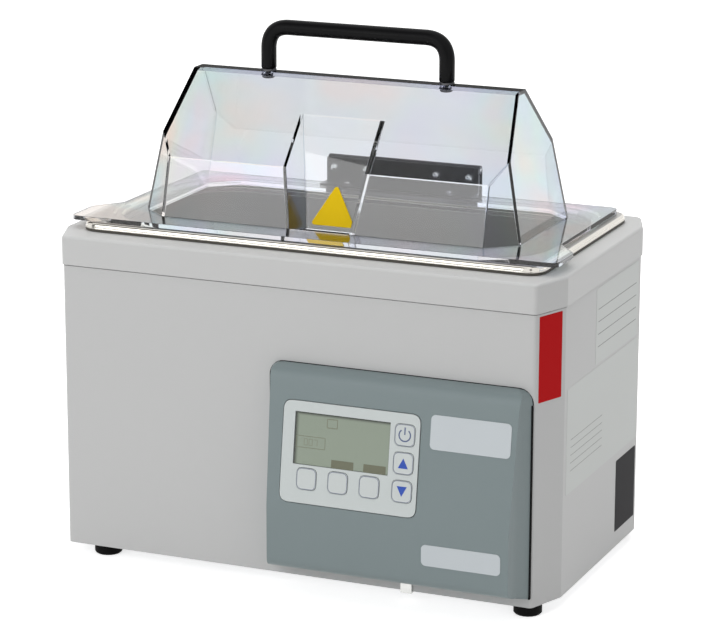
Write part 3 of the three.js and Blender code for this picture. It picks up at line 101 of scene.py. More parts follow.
FLAG_SHADE = (0.012, 0.012, 0.013, 1)
CARDS = {
    "front_card": ((-1.02, -2.37, 0.93), (1.5, 0.42)),
}
CARD_GLOW = 4.0
CARD_MOST_CROSSINGS = 2.5


def add_node(tree, kind, sockets=None, **settings):
    """A new node with its settings made, each socket named set to a value or fed by an output."""
    node = tree.nodes.new(kind)
    for setting, value in settings.items():
        setattr(node, setting, value)
    for socket, value in (sockets or {}).items():
        if isinstance(value, bpy.types.NodeSocket):
            tree.links.new(value, node.inputs[socket])
        else:
            node.inputs[socket].default_value = value
    return node


def number_node(tree, operation, first, second=0.0):
    return add_node(tree, "ShaderNodeMath", {0: first, 1: second}, operation=operation).outputs[0]


def white_where_seen(tree, plain_shader, glow):
    """Shows the glow to camera, glossy and transmission rays, and the plain shader to the rest."""
    path = tree.nodes.new("ShaderNodeLightPath").outputs
    mirrored = number_node(tree, "MAXIMUM", path["Is Camera Ray"], path["Is Glossy Ray"])
    seen = number_node(tree, "MAXIMUM", mirrored, path["Is Transmission Ray"])
    return add_node(tree, "ShaderNodeMixShader", {
        "Fac": seen, 1: plain_shader.outputs[0], 2: glow.outputs[0],
    }).outputs[0]


world = bpy.data.worlds.new("white_surround")
world.use_nodes = True
world_tree = world.node_tree
room = world_tree.nodes["Background"]
room.inputs["Color"].default_value = WHITE
room.inputs["Strength"].default_value = SURROUND_LIGHT
backdrop = add_node(world_tree, "ShaderNodeBackground", {"Color": WHITE})
surround = white_where_seen(world_tree, room, backdrop)
world_tree.links.new(surround, world_tree.nodes["World Output"].inputs["Surface"])
bpy.context.scene.world = world


def flat_panel(name, width, depth):
    form = bmesh.new()
    corners = [(-width, -depth, 0), (width, -depth, 0), (width, depth, 0), (-width, depth, 0)]
    form.faces.new([form.verts.new(Vector(corner) / 2) for corner in corners])
    mesh = bpy.data.meshes.new(name)
    form.to_mesh(mesh)
    form.free()
    panel = bpy.data.objects.new(name, mesh)
    bpy.context.scene.collection.objects.link(panel)
    return panel


def new_material(name):
    material = bpy.data.materials.new(name)
    material.use_nodes = True
    return material, material.node_tree, material.node_tree.nodes["Principled BSDF"]


floor = flat_panel("studio_floor", FLOOR_REACH, FLOOR_REACH)
floor_paint, floor_tree, unused_shader = new_material("studio_floor")
floor_tree.nodes.remove(unused_shader)
floor_matt = add_node(floor_tree, "ShaderNodeBsdfDiffuse", {"Color": FLOOR_SHADE})
floor_glow = add_node(floor_tree, "ShaderNodeEmission", {"Strength": FLOOR_GLOW})
lit_floor = add_node(floor_tree, "ShaderNodeAddShader",
                     {0: floor_matt.outputs[0], 1: floor_glow.outputs[0]})
floor_surface = white_where_seen(floor_tree, floor_matt, lit_floor)
floor_tree.links.new(floor_surface, floor_tree.nodes["Material Output"].inputs["Surface"])
floor.data.materials.append(floor_paint)
floor.visible_transmission = False


def face_the_bath(place):
    return (LAMP_AIM - Vector(place)).to_track_quat("-Z", "Y").to_euler()


for lamp_name, (place, size, watts) in LAMPS.items():
    lamp_data = bpy.data.lights.new(lamp_name, "AREA")
    lamp_data.shape = "RECTANGLE"
    lamp_data.size, lamp_data.size_y = size
    lamp_data.energy = watts
    lamp = bpy.data.objects.new(lamp_name, lamp_data)
    lamp.location = place
    lamp.rotation_euler = face_the_bath(place)
    lamp.visible_camera = False
    lamp.visible_glossy = False
    lamp.visible_transmission = False
    bpy.context.scene.collection.objects.link(lamp)


def mirrored_only(name, place, size, material):
    """A panel out of view that faces the bath and that glossy rays alone meet."""
    panel = flat_panel(name, *size)
    panel.location = place
    panel.rotation_euler = face_the_bath(place)
    panel.data.materials.append(material)
    panel.visible_camera = False
    panel.visible_diffuse = False
    panel.visible_shadow = False
    panel.visible_transmission = False


flag_cloth, _, flag_shader = new_material("flag_cloth")
flag_shader.inputs["Base Color"].default_value = FLAG_SHADE
flag_shader.inputs["Roughness"].default_value = 1.0
for flag_name, (place, size) in FLAGS.items():
    mirrored_only(flag_name, place, size, flag_cloth)

# The card goes dark for a ray that has crossed more clear faces than one sheet has.
card_light, card_tree, unused_shader = new_material("card_light")
card_tree.nodes.remove(unused_shader)
crossings = card_tree.nodes.new("ShaderNodeLightPath").outputs["Transmission Depth"]
nearest_sheet = number_node(card_tree, "LESS_THAN", crossings, CARD_MOST_CROSSINGS)
card_level = number_node(card_tree, "MULTIPLY", nearest_sheet, CARD_GLOW)
card_glow = add_node(card_tree, "ShaderNodeEmission", {"Strength": card_level})
card_tree.links.new(card_glow.outputs[0], card_tree.nodes["Material Output"].inputs["Surface"])
for card_name, (place, size) in CARDS.items():
    mirrored_only(card_name, place, size, card_light)


# Outer case
# A folded wrap of 1.2 mm steel sheet with faceted corners, powder coated in satin light grey.
# The coat has a fine orange-peel skin, and the folds are slightly rounded.
CASE_COLOUR = (0.55, 0.552, 0.55, 1)
PAINT_PEEL = 900.0
PAINT_PATCH = 9.0
FOLD_ROUND = 0.7 * MM
CASE_SHARP_DEGREES = 30
MERGE_REACH = 0.002 * MM
FLAT_DEGREES = 0.5
PATCH_DETAIL = 4.0
GRAIN_DETAIL = 2.0
NOISE_MIDDLE = 0.5
SURFACE_RESULTS = {
    "Base Color": ("Color", None), "Roughness": ("Float", None), "Normal": ("Vector", None),
}


def open_group(name, kind, takes, gives):
    """A new node group with named sockets, what it is given, and the node that takes its results."""
    tree = bpy.data.node_groups.new(name, kind)
    for direction, sockets in (("INPUT", takes), ("OUTPUT", gives)):
        for socket_name, (socket_kind, usual) in sockets.items():
            socket = tree.interface.new_socket(
                name=socket_name, in_out=direction, socket_type="NodeSocket" + socket_kind,
            )
            if usual is not None:
                socket.default_value = usual
    return tree, tree.nodes.new("NodeGroupInput").outputs, tree.nodes.new("NodeGroupOutput")


def noise_at(tree, where, scale, detail):
    return add_node(tree, "ShaderNodeTexNoise", {
        "Vector": where, "Scale": scale, "Detail": detail,
    }).outputs["Fac"]


def two_spreads(tree, first, first_spread, second, second_spread):
    """The sum of two swings, each times its own spread."""
    return number_node(tree, "ADD", number_node(tree, "MULTIPLY", first, first_spread),
                       number_node(tree, "MULTIPLY", second, second_spread))


def close_surface(tree, given, result, shade, gloss_swing, depth, relief):
    """Puts out a surface's shaded colour, its roughness and the normal of its fine relief."""
    tone = add_node(tree, "ShaderNodeHueSaturation", {
        "Color": given["Colour"], "Value": number_node(tree, "ADD", shade, 1.0),
    })
    gloss = number_node(tree, "MULTIPLY", gloss_swing, given["Gloss spread"])
    roughness = number_node(tree, "ADD", given["Gloss"], gloss)
    bump = add_node(tree, "ShaderNodeBump", {"Distance": MM, "Strength": depth, "Height": relief})
    tree.links.new(tone.outputs["Color"], result.inputs["Base Color"])
    tree.links.new(roughness, result.inputs["Roughness"])
    tree.links.new(bump.outputs["Normal"], result.inputs["Normal"])


def build_skin_group():
    """A satin skin: slow patches in shade and gloss, faint specks, and a fine bumpy grain."""
    tree, given, result = open_group("satin_skin", "ShaderNodeTree", {
        "Colour": ("Color", (0.5, 0.5, 0.5, 1)), "Shade spread": ("Float", 0.03),
        "Speck spread": ("Float", 0.02), "Patch scale": ("Float", 9.0), "Grain scale": ("Float", 900.0),
        "Grain depth": ("Float", 0.05), "Gloss": ("Float", 0.45), "Gloss spread": ("Float", 0.08),
    }, SURFACE_RESULTS)
    where = tree.nodes.new("ShaderNodeTexCoord").outputs["Object"]
    patches = noise_at(tree, where, given["Patch scale"], PATCH_DETAIL)
    grain = noise_at(tree, where, given["Grain scale"], GRAIN_DETAIL)
    swing = number_node(tree, "SUBTRACT", patches, NOISE_MIDDLE)
    speck = number_node(tree, "SUBTRACT", grain, NOISE_MIDDLE)
    shade = two_spreads(tree, swing, given["Shade spread"], speck, given["Speck spread"])
    close_surface(tree, given, result, shade, swing, given["Grain depth"], grain)
    return tree


satin_skin = build_skin_group()


def finish_of(name, group, values, shader_values=None):
    """A material whose colour, roughness and normal come from one of the surface groups."""
    material, tree, shader = new_material(name)
    for socket, value in (shader_values or {}).items():
        shader.inputs[socket].default_value = value
    surface = add_node(tree, "ShaderNodeGroup", node_tree=group)
    for socket, value in values.items():
        surface.inputs[socket].default_value = value
    for socket in SURFACE_RESULTS:
        tree.links.new(surface.outputs[socket], shader.inputs[socket])
    return material


def merged_copy(node):
    """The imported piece's mesh with its loose triangles joined and its flat faces whole."""
    form = bmesh.new()
    form.from_mesh(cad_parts[node].data)
    bmesh.ops.remove_doubles(form, verts=form.verts, dist=MERGE_REACH)
    bmesh.ops.dissolve_limit(
        form, angle_limit=math.radians(FLAT_DEGREES), verts=form.verts, edges=form.edges,
    )
    return form


def new_piece(name, form, materials, body):
    mesh = bpy.data.meshes.new(name)
    form.to_mesh(mesh)
    form.free()
    for material in materials:
        mesh.materials.append(material)
    piece = bpy.data.objects.new(name, mesh)
    bpy.context.scene.collection.objects.link(piece)
    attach(piece, body)
    return piece


def round_edges(piece, width, sharp_degrees, segments=2):
    """Smooth shading, small rounded edges where two faces meet sharply, and flat faces kept flat."""
    piece.data.shade_smooth()
    piece.data.set_sharp_from_angle(angle=math.radians(sharp_degrees))
    bevel = piece.modifiers.new("rounded_edges", "BEVEL")
    bevel.width = width
    bevel.segments = segments
    bevel.limit_method = "ANGLE"
    bevel.angle_limit = math.radians(sharp_degrees)
    level = piece.modifiers.new("flat_faces", "WEIGHTED_NORMAL")
    level.keep_sharp = True


def refined(node, body, material, edge_round, sharp_degrees=CASE_SHARP_DEGREES, form=None):
    """A smooth-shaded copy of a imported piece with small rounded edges, which stands for it."""
    form = form or merged_copy(node)
    piece = new_piece(node + "_finished", form, [material], body)
    round_edges(piece, edge_round, sharp_degrees)
    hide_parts(node)
    return piece


case_paint = finish_of("case_paint", satin_skin, {
    "Colour": CASE_COLOUR, "Patch scale": PAINT_PATCH, "Grain scale": PAINT_PEEL,
    "Grain depth": 0.06, "Gloss": 0.46,
}, {"Specular IOR Level": 0.35})
refined("outer_case", "case", case_paint, FOLD_ROUND)


# Base plate and feet
# A galvanised plate closes the underside. Four black rubber feet are screwed through it with
# pan-head screws, set deep in the foot so that they clear the bench.
ZINC_COLOUR = (0.36, 0.37, 0.38, 1)
RUBBER_COLOUR = (0.006, 0.006, 0.006, 1)
BRIGHT_COLOUR = (0.72, 0.72, 0.70, 1)
FEET = ("front_left", "front_right", "back_left", "back_right")
FOOT_SCREW = {"head": 3.7 * MM, "head_height": 2.4 * MM, "shank": 2.0 * MM, "length": 7.5 * MM}
BASE_EDGE = 0.2 * MM
FOOT_EDGE = 0.4 * MM
SCREW_TURN_STEPS = 48
SCREW_RINGS = 14
SCREW_SHARP_DEGREES = 35
DOME_SHARE = 0.45
RECESS_REACH_SHARE = 0.56
RECESS_RUNOUT_SHARE = 1.4
RECESS_HALF_WIDTH_SHARE = 0.13
RECESS_DEPTH_SHARE = 0.45
STREAK_DETAIL = 3.0
CLOUD_SCALE = 14.0
METAL = {"Metallic": 1.0}


def build_steel_group():
    """Drawn or brushed steel: long streaks in shade, gloss and relief, stretched along one way."""
    tree, given, result = open_group("drawn_steel", "ShaderNodeTree", {
        "Colour": ("Color", (0.56, 0.55, 0.52, 1)), "Streak scale": ("Vector", (20.0, 20.0, 1500.0)),
        "Shade spread": ("Float", 0.25), "Cloud spread": ("Float", 0.1), "Gloss": ("Float", 0.3),
        "Gloss spread": ("Float", 0.15), "Streak depth": ("Float", 0.05),
    }, SURFACE_RESULTS)
    where = tree.nodes.new("ShaderNodeTexCoord").outputs["Object"]
    stretch = add_node(tree, "ShaderNodeVectorMath", {0: where, 1: given["Streak scale"]},
                       operation="MULTIPLY")
    streaks = noise_at(tree, stretch.outputs["Vector"], 1.0, STREAK_DETAIL)
    clouds = noise_at(tree, where, CLOUD_SCALE, STREAK_DETAIL)
    swing = number_node(tree, "SUBTRACT", streaks, NOISE_MIDDLE)
    cloud = number_node(tree, "SUBTRACT", clouds, NOISE_MIDDLE)
    shade = two_spreads(tree, swing, given["Shade spread"], cloud, given["Cloud spread"])
    both = number_node(tree, "ADD", swing, cloud)
    close_surface(tree, given, result, shade, both, given["Streak depth"], streaks)
    return tree


drawn_steel = build_steel_group()
zinc = finish_of("galvanised_sheet", satin_skin, {
    "Colour": ZINC_COLOUR, "Shade spread": 0.5, "Patch scale": 120.0, "Grain scale": 300.0,
    "Gloss": 0.42, "Gloss spread": 0.3,
}, METAL)
foot_rubber = finish_of("foot_rubber", satin_skin, {
    "Colour": RUBBER_COLOUR, "Shade spread": 0.3, "Patch scale": 60.0, "Grain scale": 2500.0,
    "Grain depth": 0.15, "Gloss": 0.6,
}, {"Specular IOR Level": 0.06})
bright_steel = finish_of("bright_steel", drawn_steel, {
    "Colour": BRIGHT_COLOUR, "Streak scale": (400.0, 400.0, 400.0), "Shade spread": 0.1,
    "Gloss": 0.16, "Gloss spread": 0.1, "Streak depth": 0.01,
}, METAL)
refined("base_plate", "case", zinc, BASE_EDGE)
for corner in FEET:
    refined("foot_" + corner, "case", foot_rubber, FOOT_EDGE)


def join_rings(form, rings):
    """Closes the wall between each ring of points and the next."""
    for first, second in zip(rings, rings[1:]):
        for i in range(len(first)):
            j = (i + 1) % len(first)
            form.faces.new((first[i], first[j], second[j], second[i]))


def pan_head_screw(head, head_height, shank, length):
    """A screw that stands on the origin along +Z: a domed head with a cross recess, and its shank."""
    form = bmesh.new()
    angles = [2 * math.pi * i / SCREW_TURN_STEPS for i in range(SCREW_TURN_STEPS)]
    reach = RECESS_REACH_SHARE * head
    half_width = RECESS_HALF_WIDTH_SHARE * head
    rings = []
    for i in range(SCREW_RINGS, 0, -1):
        radius = head * i / SCREW_RINGS
        rise = 1 - DOME_SHARE + DOME_SHARE * math.sqrt(1 - (i / SCREW_RINGS) ** 2)
        sink = RECESS_DEPTH_SHARE * (1 - radius / (RECESS_RUNOUT_SHARE * reach))
        ring = []
        for angle in angles:
            x, y = radius * math.cos(angle), radius * math.sin(angle)
            in_cross = radius < reach and min(abs(x), abs(y)) < half_width
            ring.append(form.verts.new((x, y, head_height * (rise - (sink if in_cross else 0)))))
        rings.append(ring)
    below = [(head, 0.0), (shank, 0.0), (shank, -length)]
    lower = [[form.verts.new((r * math.cos(a), r * math.sin(a), z)) for a in angles] for r, z in below]
    tip = form.verts.new((0, 0, -length))
    centre = form.verts.new((0, 0, head_height * (1 - RECESS_DEPTH_SHARE)))
    join_rings(form, lower[::-1] + rings)
    for i in range(SCREW_TURN_STEPS):
        j = (i + 1) % SCREW_TURN_STEPS
        form.faces.new((tip, lower[-1][j], lower[-1][i]))
        form.faces.new((centre, rings[-1][i], rings[-1][j]))
    bmesh.ops.recalc_face_normals(form, faces=form.faces)
    return form


def paint_and_close(tree, given, result, geometry):
    """Makes what is instanced real, gives it the material and puts it out."""
    real = add_node(tree, "GeometryNodeRealizeInstances", {"Geometry": geometry})
    paint = add_node(tree, "GeometryNodeSetMaterial", {
        "Geometry": real.outputs["Geometry"], "Material": given["Material"],
    })
    tree.links.new(paint.outputs["Geometry"], result.inputs["Geometry"])


def build_fixings_tree():
    """Sets one fixing on each point, turned to its face and rolled at random about its own axis."""
    tree, given, result = open_group("set_fixings", "GeometryNodeTree", {
        "Geometry": ("Geometry", None), "Fixing": ("Object", None),
        "Most roll": ("Float", 2 * math.pi), "Seed": ("Int", 1), "Material": ("Material", None),
    }, {"Geometry": ("Geometry", None)})
    shape = add_node(tree, "GeometryNodeObjectInfo", {"Object": given["Fixing"]})
    outward = add_node(tree, "GeometryNodeInputNamedAttribute", {"Name": "outward"},
                       data_type="FLOAT_VECTOR")
    aim = add_node(tree, "FunctionNodeAlignRotationToVector",
                   {"Vector": outward.outputs["Attribute"]}, axis="Z")
    roll = add_node(tree, "FunctionNodeRandomValue", {"Seed": given["Seed"]}, data_type="FLOAT")
    most_roll = [socket for socket in roll.inputs if socket.name == "Max" and socket.enabled][0]
    tree.links.new(given["Most roll"], most_roll)
    about = add_node(tree, "FunctionNodeAxisAngleToRotation", {
        "Axis": (0, 0, 1), "Angle": [socket for socket in roll.outputs if socket.enabled][0],
    })
    turned = add_node(tree, "FunctionNodeRotateRotation", {
        "Rotation": aim.outputs["Rotation"], "Rotate By": about.outputs["Rotation"],
    }, rotation_space="LOCAL")
    place = add_node(tree, "GeometryNodeInstanceOnPoints", {
        "Points": given["Geometry"], "Instance": shape.outputs["Geometry"],
        "Rotation": turned.outputs["Rotation"],
    })
    paint_and_close(tree, given, result, place.outputs["Instances"])
    return tree


def grown(name, start, tree, values):
    """The plain mesh that a Geometry Nodes tree makes from a starting mesh, as a new object."""
    piece = bpy.data.objects.new(name, start)
    bpy.context.scene.collection.objects.link(piece)
    grower = piece.modifiers.new(name, "NODES")
    grower.node_group = tree
    sockets = {item.name: item.identifier for item in tree.interface.items_tree
               if item.item_type == "SOCKET" and item.in_out == "INPUT"}
    for socket, value in values.items():
        grower[sockets[socket]] = value
    depsgraph = bpy.context.evaluated_depsgraph_get()
    mesh = bpy.data.meshes.new_from_object(piece.evaluated_get(depsgraph), depsgraph=depsgraph)
    piece.modifiers.remove(grower)
    piece.data = mesh
    return piece


set_fixings = build_fixings_tree()


def fixings(name, shape, seats, outward, nodes, body, material, most_roll=2 * math.pi, seed=1):
    """One mesh of like fixings, one on each seat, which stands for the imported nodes."""
    points = bpy.data.meshes.new(name)
    points.from_pydata(seats, [], [])
    aims = points.attributes.new("outward", "FLOAT_VECTOR", "POINT")
    for i in range(len(seats)):
        aims.data[i].vector = outward
    pattern_mesh = bpy.data.meshes.new(name + "_pattern")
    shape.to_mesh(pattern_mesh)
    shape.free()
    pattern = bpy.data.objects.new(name + "_pattern", pattern_mesh)
    bpy.context.scene.collection.objects.link(pattern)
    piece = grown(name, points, set_fixings, {
        "Fixing": pattern, "Most roll": most_roll, "Seed": seed, "Material": material,
    })
    bpy.data.objects.remove(pattern)
    piece.data.shade_smooth()
    piece.data.set_sharp_from_angle(angle=math.radians(SCREW_SHARP_DEGREES))
    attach(piece, body)
    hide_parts(*nodes)
    return piece


def corners_of(node):
    return [Vector(corner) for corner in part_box(node)]


def centre_of(node):
    low, high = corners_of(node)
    return (low + high) / 2


def screws(name, size, nodes, outward, body, material, seed):
    """Like screws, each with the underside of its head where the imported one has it."""
    axis = [abs(part) for part in outward].index(1)
    seats = []
    for node in nodes:
        seat = centre_of(node)
        head_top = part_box(node)[1 if outward[axis] > 0 else 0][axis]
        seat[axis] = head_top - outward[axis] * size["head_height"]
        seats.append(seat)
    fixings(name, pan_head_screw(**size), seats, outward, nodes, body, material, seed=seed)


screws("foot_screws", FOOT_SCREW, ["foot_screw_" + corner for corner in FEET], (0, 0, -1), "case",
       bright_steel, seed=4)


# Top cover
# One moulding that caps the case, with a rounded upper edge. The tank hangs in its opening.
# It is coloured nearly like the case but has a finer, slightly glossier skin.
COVER_COLOUR = (0.57, 0.572, 0.568, 1)
COVER_ROUND = 4.5 * MM
FINE_ROUND = 2.0 * MM
ROUND_SLACK = 1.5 * MM
NEAR = 0.02 * MM
LEAST_WALL_AREA = 1e-4
WALL_TILT = 0.01
COVER_EDGE = 0.35 * MM
COVER_SHARP_DEGREES = 38

cover_skin = finish_of("cover_skin", satin_skin, {
    "Colour": COVER_COLOUR, "Patch scale": 7.0, "Grain scale": 1800.0, "Grain depth": 0.04,
    "Gloss": 0.42,
}, {"Specular IOR Level": 0.35})


def tighten_edge(form):
    """Draws the cover's upper round in to a finer one, each point outwards from its own place."""
    top = max(vert.co.z for vert in form.verts)
    walls = [(face.normal.copy(), face.normal.dot(face.verts[0].co)) for face in form.faces
             if abs(face.normal.z) < WALL_TILT and face.calc_area() > LEAST_WALL_AREA
             and face.normal.dot(face.calc_center_median()) > 0]
    form.normal_update()
    moves = []
    for vert in form.verts:
        drop = top - vert.co.z
        inset = min(reach - normal.dot(vert.co) for normal, reach in walls)
        if drop > COVER_ROUND + NEAR or inset > COVER_ROUND + ROUND_SLACK:
            continue
        if drop > NEAR and inset > COVER_ROUND - NEAR:
            continue
        outward = Vector((vert.normal.x, vert.normal.y, 0)).normalized()
        along = COVER_ROUND - math.sqrt(max(0.0, COVER_ROUND ** 2 - (COVER_ROUND - drop) ** 2))
        share = 1 - FINE_ROUND / COVER_ROUND
        moves.append((vert, outward * along * share + Vector((0, 0, drop * share))))
    for vert, move in moves:
        vert.co += move
    form.normal_update()


cover_form = merged_copy("top_cover")
tighten_edge(cover_form)
refined("top_cover", "case", cover_skin, COVER_EDGE, COVER_SHARP_DEGREES, cover_form)


# Tank and gasket
# Stainless sheet, drawn into a deep well whose rim is turned down over the cover on a grey gasket.
# The drawing leaves fine lines along the walls and a satin sheen. The rolled rim is polished, and is
# also painted brighter than the walls as a painted sheen. The shoulder and the step under the rim are
# painted dark, which is painted shade in the creases.
TANK_COLOUR = (0.50, 0.49, 0.47, 1)
RIM_SHEEN_COLOUR = (0.78, 0.75, 0.69, 1)
CREASE_SHADE_COLOUR = (0.10, 0.095, 0.085, 1)
GASKET_COLOUR = (0.085, 0.078, 0.066, 1)
RIM_DEPTH = 8.2 * MM
RIM_WALL_BAND = 17.5 * MM
SHOULDER_BAND = (5.2 * MM, 8.0 * MM)
LEDGE_STEP_INSET = 6.0 * MM
STEP_DEPTH = 1.5 * MM
STEP_TILT = 0.6
TANK_EDGE = 0.35 * MM
TANK_SHARP_DEGREES = 28
GASKET_EDGE = 0.2 * MM

tank_steel = finish_of("tank_steel", drawn_steel, {
    "Colour": TANK_COLOUR, "Streak scale": (14.0, 14.0, 420.0), "Shade spread": 0.16,
    "Gloss": 0.36, "Gloss spread": 0.1, "Streak depth": 0.004,
}, METAL)
rim_sheen_steel = finish_of("rim_sheen_steel", drawn_steel, {
    "Colour": RIM_SHEEN_COLOUR, "Streak scale": (30.0, 30.0, 600.0), "Shade spread": 0.12,
    "Gloss": 0.15, "Gloss spread": 0.06, "Streak depth": 0.002,
}, METAL)
crease_shade_steel = finish_of("crease_shade_steel", drawn_steel, {
    "Colour": CREASE_SHADE_COLOUR, "Streak scale": (30.0, 30.0, 600.0), "Gloss": 0.3, "Streak depth": 0.002,
}, METAL)
gasket_silicone = finish_of("gasket_silicone", satin_skin, {
    "Colour": GASKET_COLOUR, "Gloss": 0.6, "Grain depth": 0.1,
})
tank = refined("tank", "case", tank_steel, TANK_EDGE, TANK_SHARP_DEGREES)
tank.data.materials.append(rim_sheen_steel)
tank.data.materials.append(crease_shade_steel)
# Painted light on one steel: the rim band takes a brighter copy (a painted sheen), and the shoulder
# band and the step walls take a dark copy (painted shade).
rim_low, rim_high = corners_of("tank")
for face in tank.data.polygons:
    x, y, z = face.center
    inset = min(x - rim_low.x, rim_high.x - x, y - rim_low.y, rim_high.y - y)
    drop = rim_high.z - z
    inside = inset > LEDGE_STEP_INSET
    on_shoulder = inside and SHOULDER_BAND[0] < drop < SHOULDER_BAND[1]
    on_step = inside and 0 < drop < STEP_DEPTH and abs(face.normal.z) < STEP_TILT
    if on_shoulder or on_step:
        face.material_index = 2
    elif drop < RIM_DEPTH and inset < RIM_WALL_BAND:
        face.material_index = 1
refined("rim_gasket", "case", gasket_silicone, GASKET_EDGE)


# Inside the case
# A glass-wool jacket round the tank, a silicone heater mat, a probe and a thermal cut-out under it,
# and two circuit boards. Little of this shows, only through the slots in the back and the base.
WOOL_COLOUR = (0.62, 0.58, 0.46, 1)
HEATER_COLOUR = (0.42, 0.10, 0.03, 1)
BOARD_COLOUR = (0.015, 0.10, 0.045, 1)
INNER_EDGE = 0.15 * MM
STANDOFFS = ["board_standoff_" + number for number in "1234"]

wool = finish_of("glass_wool", satin_skin, {
    "Colour": WOOL_COLOUR, "Shade spread": 0.6, "Patch scale": 150.0, "Grain scale": 700.0,
    "Grain depth": 0.9, "Gloss": 0.95,
})
heater_rubber = finish_of("heater_rubber", satin_skin, {
    "Colour": HEATER_COLOUR, "Shade spread": 0.1, "Grain scale": 1200.0, "Grain depth": 0.3,
    "Gloss": 0.65,
})
board_resin = finish_of("board_resin", satin_skin, {
    "Colour": BOARD_COLOUR, "Shade spread": 0.4, "Patch scale": 200.0, "Grain scale": 900.0,
    "Gloss": 0.4,
})
inner_finishes = {
    "tank_insulation": wool, "heater_pad": heater_rubber, "temperature_probe": bright_steel,
    "thermal_cutout": zinc, "power_board": board_resin, "display_board": board_resin,
    **{node: bright_steel for node in STANDOFFS},
}
for node, material in inner_finishes.items():
    refined(node, "case", material, INNER_EDGE)


# Mains inlet
# A black moulded socket with three flat pins, held in the back wall by two small screws.
# Its flange stands a little proud of the sheet.
BLACK_PLASTIC_COLOUR = (0.006, 0.006, 0.0065, 1)
INLET_SCREW = {"head": 2.6 * MM, "head_height": 1.4 * MM, "shank": 1.4 * MM, "length": 6.0 * MM}
INLET_EDGE = 0.3 * MM

black_plastic = finish_of("black_plastic", satin_skin, {
    "Colour": BLACK_PLASTIC_COLOUR, "Shade spread": 0.4, "Grain scale": 1500.0,
    "Grain depth": 0.08, "Gloss": 0.45,
}, {"Specular IOR Level": 0.08})
refined("power_inlet", "case", black_plastic, INLET_EDGE)
screws("inlet_screws", INLET_SCREW, ["inlet_screw_left", "inlet_screw_right"], (0, 1, 0), "case",
       bright_steel, seed=7)


# Control panel housing
# A grey-green moulded wedge on the front of the case, with a rounded brow and drafted sides. A thin
# black sheet behind it and a thicker strip down its right side are painted shade: dark pieces that
# stand for the shadow in the gap between the housing and the case. Two blank plates are stuck to it,
# and a pale clip under it holds its lower edge.
HOUSING_COLOUR = (0.188, 0.232, 0.238, 1)
PLATE_COLOUR = (0.545, 0.585, 0.61, 1)
SLOPE_ORIGIN = Vector((0.2, -116.05, 61.5)) * MM
SLOPE_LEAN = math.radians(8.09)
PLATE_ROUND = 3.0 * MM
PLATE_THICKNESS = 0.35 * MM
UPPER_PLATE_SIZE = (54.2 * MM, 22.2 * MM)
UPPER_PLATE_PLACE = (128.9 * MM, 61.1 * MM)
LOWER_PLATE_SIZE = (53.7 * MM, 14.0 * MM)
LOWER_PLATE_CENTRE = Vector((126.35, -116.05, 42.5)) * MM
ROUND_CORNER_STEPS = 8
HOUSING_ROUND = 10.0 * MM
SHOULDER_DEPTH_SHARE = 11.0 / 22.3
DRAFT_NEAR = 5.0 * MM
DRAFT_FAR = 7.8 * MM
CORNER_MATCH = 0.15 * MM
FOOT_ROUND = 1.5 * MM
THIN_REACH = 0.4 * MM
SHADE_SHEET_THICKNESS = 0.25 * MM
STRIP_WIDTH = 1.4 * MM
STRIP_THICKNESS = 1.6 * MM
STRIP_TOP_GAP = 10.0 * MM
HOUSING_EDGE = 0.5 * MM
HOUSING_SHARP_DEGREES = 28
CLIP_EDGE = 0.2 * MM
case_front_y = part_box("outer_case")[0][1]

housing_plastic = finish_of("housing_plastic", satin_skin, {
    "Colour": HOUSING_COLOUR, "Shade spread": 0.06, "Patch scale": 14.0, "Grain scale": 2400.0,
    "Grain depth": 0.07, "Gloss": 0.44,
})
clip_steel = finish_of("clip_steel", drawn_steel, {
    "Colour": BRIGHT_COLOUR, "Gloss": 0.35, "Streak depth": 0.01,
}, METAL)
plate_foil = finish_of("plate_foil", satin_skin, {
    "Colour": PLATE_COLOUR, "Shade spread": 0.03, "Grain scale": 3000.0, "Grain depth": 0.03,
    "Gloss": 0.35,
})
housing_low, housing_high = corners_of("panel_housing")
housing_width = housing_high.x - housing_low.x
housing_depth = housing_high.y - housing_low.y
housing_height = housing_high.z - housing_low.z
housing_middle = (housing_low.x + housing_high.x) / 2


def side_of_housing(y):
    """Half the width between the drafted sides at one depth, and the corners' round there."""
    depth = (housing_high.y - y) / housing_depth
    near = min(depth, SHOULDER_DEPTH_SHARE) / SHOULDER_DEPTH_SHARE
    far = max(0.0, depth - SHOULDER_DEPTH_SHARE) / (1 - SHOULDER_DEPTH_SHARE)
    draft = DRAFT_NEAR * near + (DRAFT_FAR - DRAFT_NEAR) * far
    return housing_width / 2 - draft, HOUSING_ROUND - draft / 2


def square_the_foot(form):
    """Draws the two lower corners out to a small round, along the drafted sides."""
    for vert in form.verts:
        side, corner = side_of_housing(vert.co.y)
        rise = vert.co.z - housing_low.z
        across = vert.co.x - housing_middle
        if rise > corner:
            continue
        expected = side - corner * (1 - math.sqrt(max(0.0, rise) / corner)) ** 2
        if abs(abs(across) - expected) > CORNER_MATCH:
            continue
        turn = min(1.0, math.sqrt(max(0.0, rise) / FOOT_ROUND))
        vert.co.x = housing_middle + math.copysign(side - FOOT_ROUND * (1 - turn) ** 2, across)
    form.normal_update()


housing_form = merged_copy("panel_housing")
square_the_foot(housing_form)
refined("panel_housing", "case", housing_plastic, HOUSING_EDGE, HOUSING_SHARP_DEGREES, housing_form)
refined("panel_clip", "case", clip_steel, CLIP_EDGE)

slope_turn = Matrix.Rotation(math.pi / 2 - SLOPE_LEAN, 4, "X")
slope_frame = Matrix.Translation(SLOPE_ORIGIN) @ slope_turn
upright_front = Matrix.Rotation(math.pi / 2, 4, "X")


